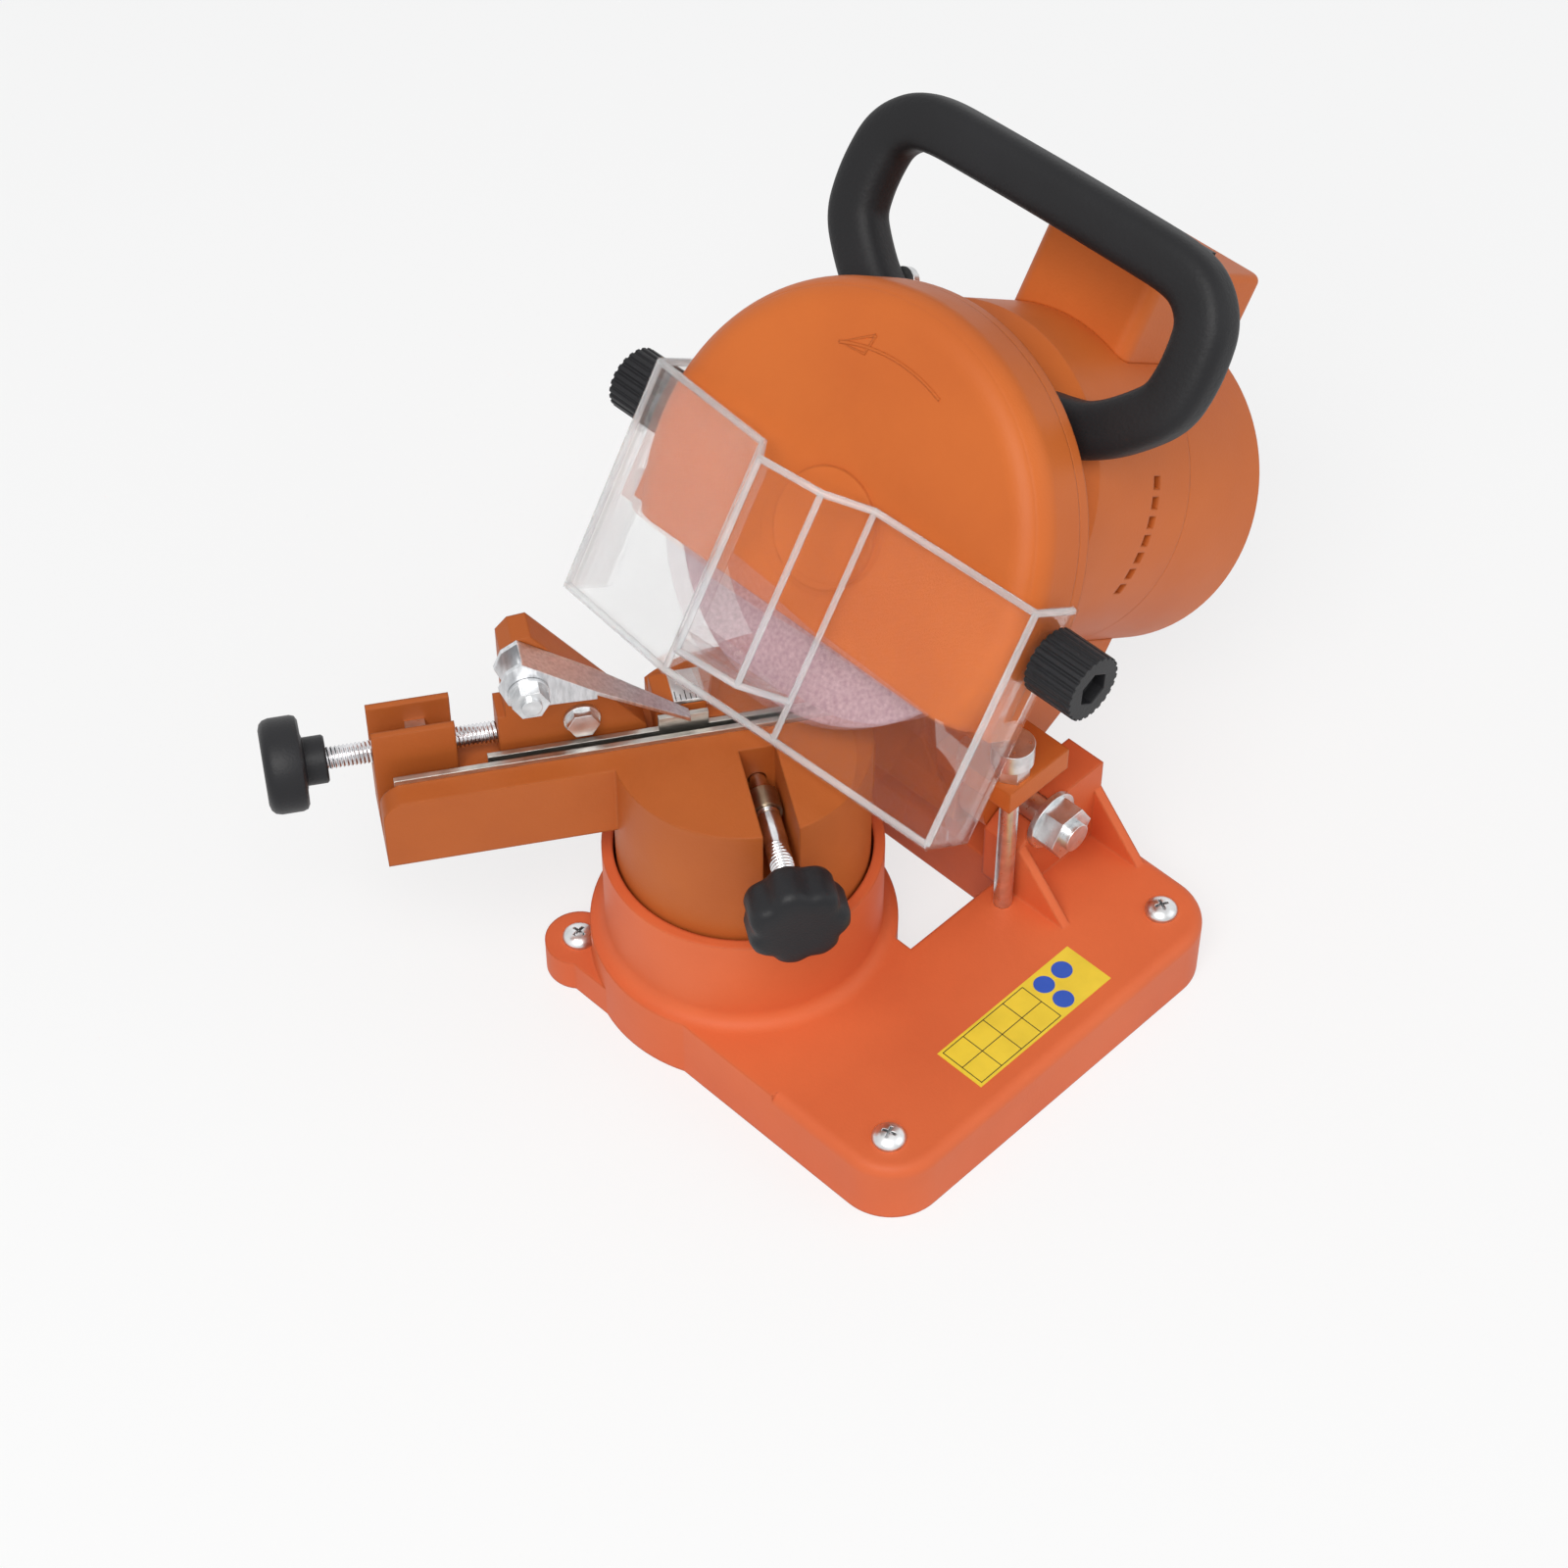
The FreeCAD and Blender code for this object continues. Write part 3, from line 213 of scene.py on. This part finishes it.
def lofted(name, form, loops):
    for low, high in zip(loops, loops[1:]):
        for i in range(len(low)):
            j = (i + 1) % len(low)
            form.faces.new((low[i], low[j], high[j], high[i]))
    form.faces.new(reversed(loops[0]))
    form.faces.new(loops[-1])
    mesh = bpy.data.meshes.new(name)
    form.to_mesh(mesh)
    form.free()
    mesh.shade_smooth()
    return linked(name, mesh)


def turned(name, rings, sides=64, lobing=None):
    form = bmesh.new()
    loops = []
    for height, radius, share in rings:
        loop = []
        for i in range(sides):
            a = 2 * math.pi * i / sides
            r = radius * (1 - share * lobing(a)) if lobing else radius
            loop.append(form.verts.new((r * math.cos(a) / 1000, r * math.sin(a) / 1000, height / 1000)))
        loops.append(loop)
    piece = lofted(name, form, loops)
    piece.data.set_sharp_from_angle(angle=crease)
    return piece


def place(piece, matrix):
    piece.data.transform(matrix)


def evaluated_mesh(holder):
    bpy.context.view_layer.update()
    return bpy.data.meshes.new_from_object(holder.evaluated_get(bpy.context.evaluated_depsgraph_get()))


def recess_bar(reach, width, bottom, top, turn):
    mesh = bpy.data.meshes.new("recess_bar")
    form = bmesh.new()
    for v in bmesh.ops.create_cube(form, size=1.0)["verts"]:
        narrow, height = (recess_taper, bottom) if v.co.z < 0 else (1.0, top)
        v.co = Vector((v.co.x * 2 * reach * narrow, v.co.y * width * narrow, height)) / 1000
    form.to_mesh(mesh)
    form.free()
    bar = linked("recess_bar", mesh)
    place(bar, Matrix.Rotation(math.radians(turn), 4, "Z"))
    return bar


def carve(piece, cutter):
    cut = piece.modifiers.new("carve", "BOOLEAN")
    cut.operation = "DIFFERENCE"
    cut.solver = "EXACT"
    cut.object = cutter
    shaped = evaluated_mesh(piece)
    piece.modifiers.clear()
    piece.data = shaped
    shaped.shade_smooth()
    shaped.set_sharp_from_angle(angle=crease)
    bpy.data.objects.remove(cutter)


crease = math.radians(38)
base_top, lobe_top = 19.0, 10.0
recess_reach, recess_width, recess_taper = 2.3, 0.95, 0.55
recess_floor, recess_open = 1.0, 4.0
pan_head = [(-0.05, 4.2, 0), (0.5, 4.35, 0), (1.1, 4.25, 0), (1.9, 3.6, 0), (2.5, 2.6, 0),
            (2.85, 1.5, 0), (2.95, 0.4, 0)]
zinc = zinc_plate("zinc", (0.78, 0.79, 0.80), 0.3)
bench_screw_spots = ((0.0, 0.0, base_top, 20), (102.5, 0.0, base_top, 65), (-5.0, 106.5, lobe_top, 5))
for number, (x, y, z, turn) in enumerate(bench_screw_spots, 1):
    screw = turned("bench_screw_%d" % number, pan_head)
    for cross in (0, 90):
        carve(screw, recess_bar(recess_reach, recess_width, recess_floor, recess_open, cross))
    screw.data.materials.append(zinc)
    place(screw, Matrix.Translation((x / 1000, y / 1000, z / 1000))
          @ Matrix.Rotation(math.radians(turn), 4, "Z"))
    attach(screw, "bench_base")


# Sticker: a yellow vinyl strip near the front edge of the base, ruled in cells with three blue discs.
# The cells are left empty.

def vinyl(name, colour):
    material, tree, skin = new_material(name)
    worn = tuple(0.9 * c for c in colour)
    tree.links.new(ramp(tree, noise(tree, 120.0, 4.0), 0.3, worn, 0.6, colour), skin.inputs["Base Color"])
    tree.links.new(spread(tree, noise(tree, 90.0, 3.0), 0.3, 0.42), skin.inputs["Roughness"])
    return material


def flat_shapes(name, outlines, height, thickness, material):
    mesh = bpy.data.meshes.new(name)
    form = bmesh.new()
    for outline in outlines:
        low = [form.verts.new((x / 1000, y / 1000, height / 1000)) for x, y in outline]
        high = [form.verts.new((x / 1000, y / 1000, (height + thickness) / 1000)) for x, y in outline]
        form.faces.new(high)
        form.faces.new(reversed(low))
        for i in range(len(outline)):
            j = (i + 1) % len(outline)
            form.faces.new((low[i], low[j], high[j], high[i]))
    form.to_mesh(mesh)
    form.free()
    piece = linked(name, mesh)
    piece.data.materials.append(material)
    return piece


def strip(x0, x1, y0, y1):
    return [(x0, y0), (x1, y0), (x1, y1), (x0, y1)]


def disc(x, y, radius, steps=32):
    return [(x + radius * math.cos(2 * math.pi * i / steps), y + radius * math.sin(2 * math.pi * i / steps))
            for i in range(steps)]


sticker_left, sticker_right = 27.5, 76.5
sticker_front, sticker_back = -5.5, 9.4
cell_width, cell_depth, cells_across, cells_deep = 7.4, 6.55, 4, 2
rule_half, ink_thickness, disc_radius = 0.12, 0.04, 2.8
vinyl_under, vinyl_thickness = base_top + 0.02, 0.12
vinyl_top = vinyl_under + vinyl_thickness
sticker = flat_shapes("sticker", [strip(sticker_left, sticker_right, sticker_front, sticker_back)],
                      vinyl_under, vinyl_thickness, vinyl("yellow_vinyl", (0.90, 0.66, 0.05)))
x0 = sticker_left + 1.2
y0 = sticker_front + 0.9
x1 = x0 + cells_across * cell_width
y1 = y0 + cells_deep * cell_depth
lines = [strip(x0 - rule_half, x1, y0 + k * cell_depth - rule_half, y0 + k * cell_depth + rule_half)
         for k in range(cells_deep + 1)]
lines += [strip(x0 + k * cell_width - rule_half, x0 + k * cell_width + rule_half, y0, y1)
          for k in range(cells_across + 1)]
rules = flat_shapes("sticker_rules", lines, vinyl_top, ink_thickness, vinyl("dark_ink", (0.05, 0.045, 0.02)))
spots = [disc(x1 + 4.6, y0 + 9.8, disc_radius), disc(x1 + 4.6, y0 + 3.2, disc_radius),
         disc(x1 + 11.4, y0 + 9.8, disc_radius)]
blue_spots = flat_shapes("sticker_discs", spots, vinyl_top, ink_thickness,
                         vinyl("blue_ink", (0.03, 0.11, 0.55)))
for piece in (sticker, rules, blue_spots):
    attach(piece, "bench_base")


# Hinge hardware: an M8 bolt through both ears with plated washers, a nut at the front
# and a coil spring at the back that keeps the hinge free of end play.

for name in ("hinge_bolt", "hinge_washers", "hinge_nut"):
    painted(name, zinc)
spring_wire = zinc_plate("spring_wire", (0.42, 0.42, 0.44), 0.28)
painted("hinge_spring", spring_wire)


# Vise: an orange drum that turns in the cup, with the long arm, its bracket and the beam
# behind the chain slot. Its orange is darker than the base's, as painted shade for the shade its front stands
# in. The scale plate has short dark marks.

vise_place = Matrix.Translation((0.026, 0.0765, 0.0)) @ Matrix.Rotation(math.radians(-33), 4, "Z")
# Painted shade: the vise's orange is darkened to stand in for the shade on its front, and the stop block
# shares it.
vise_plastic_painted_shade = moulded_plastic("vise_plastic_painted_shade", (0.50, 0.125, 0.025), (0.43, 0.10, 0.020), 0.5, edge=0.0009)
painted("vise_body", vise_plastic_painted_shade)
painted("stop_block", vise_plastic_painted_shade)
worn_steel = zinc_plate("worn_steel", (0.60, 0.58, 0.54), 0.38, (1.0, 1.0, 6.0))
for name in ("front_rail", "jaw_plate"):
    painted(name, worn_steel)
for name in ("scale_plate", "feed_nut", "guide_bolt", "stop_nut", "pawl_bolt", "pivot_stud", "lock_washer"):
    painted(name, zinc)

scale_corners = [vise_place.inverted() @ nodes["scale_plate"].matrix_world @ v.co
                 for v in nodes["scale_plate"].data.vertices]
scale_left, scale_right = (1000 * pick(c.x for c in scale_corners) for pick in (min, max))
scale_front, scale_top = 1000 * min(c.y for c in scale_corners), 1000 * max(c.z for c in scale_corners)
mark_pitch, mark_width, mark_inset = 1.25, 0.25, 0.5
mark_start, long_mark_end, short_mark_end = 0.2, 3.4, 2.2
mark_count = int((scale_right - scale_left - 2 * mark_inset) / mark_pitch) + 1
marks = []
for i in range(mark_count):
    mark_left = scale_left + mark_inset + i * mark_pitch
    mark_end = long_mark_end if i % 2 == 0 else short_mark_end
    marks.append(strip(mark_left, mark_left + mark_width, scale_front + mark_start, scale_front + mark_end))
scale_marks = flat_shapes("scale_marks", marks, scale_top, 0.03, vinyl("scale_ink", (0.03, 0.03, 0.03)))
place(scale_marks, vise_place)
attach(scale_marks, "vise")


# Stop pawl: a folded zinc plated channel on a small bolt.
# It holds back the cutter being ground.

pawl_plate = zinc_plate("pawl_plate", (0.74, 0.75, 0.77), 0.34, (4.0, 4.0, 1.0))
painted("pawl", pawl_plate)


# Feed screw and knob: a long screw of 1 mm pitch, which moves the stop.
# A smooth black hand wheel sits on its outer end.

def threaded(name, radius, length, sides=24, per_turn=9):
    form = bmesh.new()
    loops = []
    rows = int(length / thread_pitch * per_turn)
    for row in range(rows + 1):
        height = length * row / rows
        fade = min(1.0, height / thread_pitch, (length - height) / thread_pitch)
        loop = []
        for i in range(sides):
            turn = (height / thread_pitch - i / sides) % 1.0
            r = radius - thread_depth * (1.0 - fade * (1 - abs(2 * turn - 1)))
            a = 2 * math.pi * i / sides
            loop.append(form.verts.new((r * math.cos(a) / 1000, r * math.sin(a) / 1000, height / 1000)))
        loops.append(loop)
    return lofted(name, form, loops)


def on_feed_axis(u, toward_drum):
    aim = Matrix.Rotation(math.radians(90 if toward_drum else -90), 4, "Y")
    return vise_place @ Matrix.Translation((u / 1000, feed_axis_v / 1000, feed_axis_z / 1000)) @ aim


thread_pitch, thread_depth = 1.0, 0.45
bright_steel = zinc_plate("bright_steel", (0.82, 0.82, 0.84), 0.2)
feed_axis_v, feed_axis_z = 14.85, 86.0
feed_thread_start, hand_wheel_start = -112.9, -100.5
feed_thread = threaded("feed_thread", 2.9, 63.8)
feed_thread.data.materials.append(bright_steel)
place(feed_thread, on_feed_axis(feed_thread_start, True))
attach(feed_thread, "feed")
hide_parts("feed_screw")

black_plastic = moulded_plastic("black_plastic", (0.022, 0.022, 0.024), (0.014, 0.014, 0.016), 0.42,
                                grain_scale=1700.0, grain=0.35, edge=0.0005)
wheel_profile = [(0.0, 5.5, 0), (0.5, 6.0, 0), (5.2, 6.0, 0), (5.5, 7.0, 0), (5.6, 10.4, 0), (6.2, 11.5, 0),
                 (7.4, 11.9, 0), (12.6, 11.9, 0), (14.1, 11.5, 0), (15.0, 10.6, 0), (15.45, 9.2, 0),
                 (15.45, 7.6, 0), (15.0, 6.8, 0), (14.9, 0.3, 0)]
hand_wheel = turned("feed_hand_wheel", wheel_profile, sides=96)
hand_wheel.data.materials.append(black_plastic)
place(hand_wheel, on_feed_axis(hand_wheel_start, False))
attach(hand_wheel, "feed")
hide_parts("feed_knob")


# Clamp: a seven-lobed black knob on a part-threaded rod that draws the jaw plate onto the chain.

clamp_u, clamp_z = 3.0, 74.0
toward_operator = Matrix.Rotation(math.radians(90), 4, "X")
lobe_count, lobe_depth, lobe_sharpness = 7, 0.11, 1.6
star_knob_start, rod_thread_start, rod_shank_start = -38.0, -26.0, 7.6
star_profile = [(0.0, 5.6, 0), (0.5, 6.4, 0), (3.6, 6.4, 0), (4.0, 7.4, 0), (4.1, 11.0, 0.8), (5.0, 12.2, 1),
                (6.5, 12.8, 1), (13.0, 12.8, 1), (14.6, 12.4, 1), (15.6, 11.4, 0.95), (16.0, 10.0, 0.8),
                (16.0, 6.5, 0.3), (15.8, 0.3, 0)]
shank_profile = [(0.0, 2.1, 0), (17.0, 2.1, 0), (19.0, 2.2, 0), (19.1, 3.1, 0), (23.5, 3.1, 0),
                 (23.8, 2.6, 0), (24.4, 2.6, 0), (24.7, 3.1, 0), (33.0, 3.1, 0), (33.4, 2.8, 0),
                 (36.0, 2.7, 0)]


def clamp_lobes(a):
    return lobe_depth * (0.5 - 0.5 * math.cos(lobe_count * a)) ** lobe_sharpness


def on_clamp_axis(v):
    return vise_place @ Matrix.Translation((clamp_u / 1000, v / 1000, clamp_z / 1000)) @ toward_operator


star_knob = turned("clamp_star_knob", star_profile, sides=140, lobing=clamp_lobes)
star_knob.data.materials.append(black_plastic)
place(star_knob, on_clamp_axis(star_knob_start))
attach(star_knob, "clamp")
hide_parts("clamp_knob")

rod_thread = threaded("clamp_thread", 3.1, 17.0)
rod_thread.data.materials.append(bright_steel)
place(rod_thread, on_clamp_axis(rod_thread_start))
rod_shank = turned("clamp_shank", shank_profile, sides=48)
rod_shank.data.materials.append(bright_steel)
place(rod_shank, on_clamp_axis(rod_shank_start))
for piece in (rod_thread, rod_shank):
    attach(piece, "clamp")
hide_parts("clamp_rod")
brass_collar = zinc_plate("brass_collar", (0.45, 0.36, 0.25), 0.34)
painted("clamp_collar", brass_collar)


# Swivel lock: a black knob under the cup on the vise's own stud.
# It is hidden while the machine stands on its bench.

painted("lock_knob", black_plastic)


# Wheel guard: an orange pressed-looking moulding round the upper wheel with a raised hub disc
# and a shallow arrow in relief for the direction of rotation. Its back plate is screwed on.

head_place = Matrix.Translation((0.065281, 0.0795, 0.128505)) @ Matrix.Rotation(math.radians(33), 4, "Y")
head_plastic = moulded_plastic("head_plastic", (0.64, 0.155, 0.030), (0.57, 0.13, 0.026), 0.45, edge=0.0009)
for name in ("guard_cover", "guard_back", "arm", "knuckle", "stop_lug"):
    painted(name, head_plastic)
painted("guard_screws", zinc)
painted("handle_screws", zinc)


def relief_line(name, points, width, rise, material):
    line = bpy.data.curves.new(name, "CURVE")
    line.dimensions = "3D"
    run = line.splines.new("POLY")
    run.points.add(len(points) - 1)
    for spot, (s, t, r) in zip(run.points, points):
        spot.co = (s / 1000, t / 1000, r / 1000, 1.0)
    line.bevel_depth = width / 2000
    line.bevel_resolution = 3
    line.use_fill_caps = True
    holder = linked(name, line)
    mesh = evaluated_mesh(holder)
    bpy.data.objects.remove(holder)
    s0 = points[0][0] / 1000
    for v in mesh.vertices:
        v.co.x = s0 + (v.co.x - s0) * rise
    mesh.shade_smooth()
    piece = linked(name, mesh)
    piece.data.materials.append(material)
    return piece


guard_face = -9.0
arrow_radius = 44.6
arrow_arc = [(guard_face, arrow_radius * math.cos(math.radians(a)), arrow_radius * math.sin(math.radians(a)))
             for a in range(109, 69, -3)]
arrow_tip = (guard_face, 17.5, 41.0)
arrow_barbs = [(guard_face, 8.6, 47.2), (guard_face, 9.6, 41.8), arrow_tip, (guard_face, 8.6, 47.2)]
arrow_shaft = relief_line("arrow_shaft", arrow_arc + [arrow_tip], 1.0, 0.5, head_plastic)
arrow_head = relief_line("arrow_head", arrow_barbs, 0.9, 0.5, head_plastic)
for piece in (arrow_shaft, arrow_head):
    place(piece, head_place)
    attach(piece, "head")


# Grinding wheel: a thin pink-mauve vitrified wheel with a gritty skin, held between two turned
# aluminium flanges by a nut on the motor shaft.

grit, tree, skin = new_material("wheel_grit")
tree.links.new(ramp(tree, noise(tree, 900.0, 6.0), 0.3, (0.40, 0.24, 0.27), 0.7, (0.66, 0.46, 0.50)),
               skin.inputs["Base Color"])
tree.links.new(spread(tree, noise(tree, 700.0, 4.0), 0.75, 0.95), skin.inputs["Roughness"])
tree.links.new(soft_edge_normal(tree, 0.0004, noise(tree, 2200.0, 3.0), 0.6, 0.0003), skin.inputs["Normal"])
painted("grinding_wheel", grit)
turned_metal = zinc_plate("turned_aluminium", (0.76, 0.77, 0.79), 0.3, (8.0, 1.0, 1.0))
for name in ("inner_flange", "outer_flange"):
    painted(name, turned_metal)
painted("wheel_nut", zinc)
for name in ("shaft", "bearings"):
    painted(name, bright_steel)


# Motor: armature, commutator and fan inside the stator, closed in a two-part orange shell.
# Steel laminations, copper parts and a black fan stay out of sight.

laminated = zinc_plate("laminated_steel", (0.36, 0.36, 0.38), 0.45, (30.0, 1.0, 1.0))
copper = zinc_plate("copper", (0.70, 0.34, 0.16), 0.32)
for name in ("armature", "stator"):
    painted(name, laminated)
for name in ("commutator", "brush_holders"):
    painted(name, copper)
painted("fan", black_plastic)
for name in ("housing_front", "housing_rear"):
    painted(name, head_plastic)


# Switch: an orange box on the motor with a black rocker in a snap-in frame.
# A bar and a ring in white mark on and off.

painted("switch_box", head_plastic)
painted("switch_frame", black_plastic)
rocker_plastic = moulded_plastic("rocker_plastic", (0.016, 0.016, 0.018), (0.012, 0.012, 0.013), 0.22,
                                 grain=0.05, edge=0.0004)
painted("rocker", rocker_plastic)
white_ink = vinyl("white_ink", (0.75, 0.75, 0.72))
mark_thickness = 0.08
on_spot, on_slope = (0.0845, 0.0015, 0.08275), 15.8
off_spot, off_slope = (0.0925, 0.0015, 0.0816), 2.9
on_bar = strip(-1.3, 1.3, -0.25, 0.25)
on_mark = flat_shapes("switch_on_mark", [on_bar], 0.0, mark_thickness, white_ink)
place(on_mark, head_place @ Matrix.Translation(on_spot) @ Matrix.Rotation(math.radians(on_slope), 4, "Y"))
ring_inner, ring_outer, ring_count = 1.0, 1.4, 32
inner_points = disc(0.0, 0.0, ring_inner, ring_count)
outer_points = disc(0.0, 0.0, ring_outer, ring_count)
ring_parts = [[inner_points[i - 1], outer_points[i - 1], outer_points[i], inner_points[i]]
              for i in range(ring_count)]
off_mark = flat_shapes("switch_off_mark", ring_parts, 0.0, mark_thickness, white_ink)
place(off_mark, head_place @ Matrix.Translation(off_spot) @ Matrix.Rotation(math.radians(off_slope), 4, "Y"))
for piece in (on_mark, off_mark):
    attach(piece, "switch_rocker")


# Cable gland: a black bushing under the rear of the motor, where the mains lead goes in.
# The lead itself isn't part of the model.

painted("cable_gland", black_plastic)


# Loop handle: one thick black bar bent into an open loop behind the guard.
# Its two ends are screwed to the motor's neck.

def swept_bar(name, path, depth, width, round_by):
    side = bpy.data.curves.new(name + "_side", "CURVE")
    side.dimensions = "2D"
    ring = side.splines.new("POLY")
    side_count = 32
    ring.points.add(side_count - 1)
    for i, spot in enumerate(ring.points):
        a = 2 * math.pi * i / side_count
        cx, cy = math.cos(a), math.sin(a)
        reach = (abs(cx) ** round_by + abs(cy) ** round_by) ** (-1.0 / round_by)
        spot.co = (cx * reach * width / 2000, cy * reach * depth / 2000, 0, 1)
    ring.use_cyclic_u = True
    side_holder = linked(name + "_side", side)
    line = bpy.data.curves.new(name, "CURVE")
    line.dimensions = "2D"
    line.resolution_u = 10
    run = line.splines.new("NURBS")
    run.points.add(len(path) - 1)
    for spot, (t, r) in zip(run.points, path):
        spot.co = (t / 1000, r / 1000, 0, 1)
    run.order_u = 3
    run.use_endpoint_u = True
    line.bevel_mode = "OBJECT"
    line.bevel_object = side_holder
    line.use_fill_caps = True
    holder = linked(name, line)
    mesh = evaluated_mesh(holder)
    bpy.data.objects.remove(holder)
    bpy.data.objects.remove(side_holder)
    mesh.shade_smooth()
    mesh.set_sharp_from_angle(angle=math.radians(50))
    return linked(name, mesh)


handle_depth, handle_width, handle_rounding, handle_plane = 12.8, 14.2, 3.2, 27.5
handle_side = [(22, 41.5), (31, 43), (39, 47.5), (46, 54), (51, 60), (52.2, 67), (52.2, 74), (51, 82),
               (45.5, 88), (38.5, 90), (25, 90.2)]
handle_path = [(-t, r) for t, r in handle_side] + [(0, 90.4)] + handle_side[::-1]
loop_handle = swept_bar("loop_handle", handle_path, handle_depth, handle_width, handle_rounding)
handle_plastic = moulded_plastic("handle_plastic", (0.018, 0.018, 0.020), (0.012, 0.012, 0.013), 0.5,
                                 grain_scale=900.0, grain=0.5, edge=0.0006)
loop_handle.data.materials.append(handle_plastic)
in_wheel_plane = Matrix(((0, 0, 1, 0), (1, 0, 0, 0), (0, 1, 0, 0), (0, 0, 0, 1)))
place(loop_handle, head_place @ Matrix.Translation((handle_plane / 1000, 0, 0)) @ in_wheel_plane)
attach(loop_handle, "head")
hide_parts("handle")


# Shield: a clear polycarbonate visor that slides up and down on two side bolts in front of the wheel.
# Rounded beads along its rims and folds carry a pale, partly opaque colour as a painted highlight for the
# light the real one's edges catch, with a real glossy reflection on top.

clear, tree, skin = new_material("clear_visor")
tree.links.new(ramp(tree, noise(tree, 40.0, 3.0), 0.3, (0.96, 0.975, 0.98), 0.7, (0.99, 0.995, 0.995)),
               skin.inputs["Base Color"])
tree.links.new(spread(tree, noise(tree, 150.0, 4.0), 0.01, 0.05), skin.inputs["Roughness"])
skin.inputs["Transmission Weight"].default_value = 1.0
skin.inputs["IOR"].default_value = 1.45
skin.inputs["Alpha"].default_value = 0.32
tree.links.new(soft_edge_normal(tree, 0.0005, noise(tree, 70.0, 2.0), 0.08, 0.0004), skin.inputs["Normal"])
painted("shield", clear)

# Painted highlight: the beads' pale base colour stands in for the bright visor edges, and only the low
# roughness gives a real reflection.
visor_edge_painted_highlight, tree, skin = new_material("visor_edge_painted_highlight")
tree.links.new(ramp(tree, noise(tree, 90.0, 3.0), 0.3, (0.80, 0.84, 0.86), 0.7, (0.95, 0.97, 0.97)),
               skin.inputs["Base Color"])
skin.inputs["Roughness"].default_value = 0.08
skin.inputs["Transmission Weight"].default_value = 0.5
skin.inputs["Alpha"].default_value = 0.6
visor_left, visor_right = (-10.3, 62.2), (-10.2, -62.2)
visor_bay = [(-17.3, 20.6), (-28.1, 12.7), (-24.3, -4.6), (-13.7, -13.7)]
visor_rim = [(6.0, 62.2), visor_left] + visor_bay + [visor_right, (6.0, -62.2)]
visor_top, visor_sill, visor_low = 12.2, -40.2, -51.0
rim_bead, low_bead, fold_bead = 1.9, 1.95, 1.8
visor_folds = (visor_left, visor_bay[0], visor_bay[3], visor_right)
beads = [([(s, t, visor_top) for s, t in visor_rim], rim_bead),
         ([(s, t, visor_sill) for s, t in visor_bay], rim_bead),
         ([(s, t, visor_low) for s, t in visor_folds], low_bead)]
beads += [([(s, t, visor_top), (s, t, visor_low)], fold_bead) for s, t in visor_folds]
beads += [([(s, t, visor_top), (s, t, visor_sill)], fold_bead) for s, t in visor_bay[1:3]]
for number, (points, width) in enumerate(beads, 1):
    bead = relief_line("visor_edge_%d" % number, points, width, 1.0, visor_edge_painted_highlight)
    place(bead, head_place)
    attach(bead, "shield")
painted("shield_bolts", zinc)
for name in ("shield_knob_left", "shield_knob_right"):
    painted(name, black_plastic)


# Depth stop: a zinc screw with a lock nut in a lug on the arm.
# It sets how low the wheel comes.

for name in ("stop_screw", "stop_screw_nut"):
    painted(name, zinc)
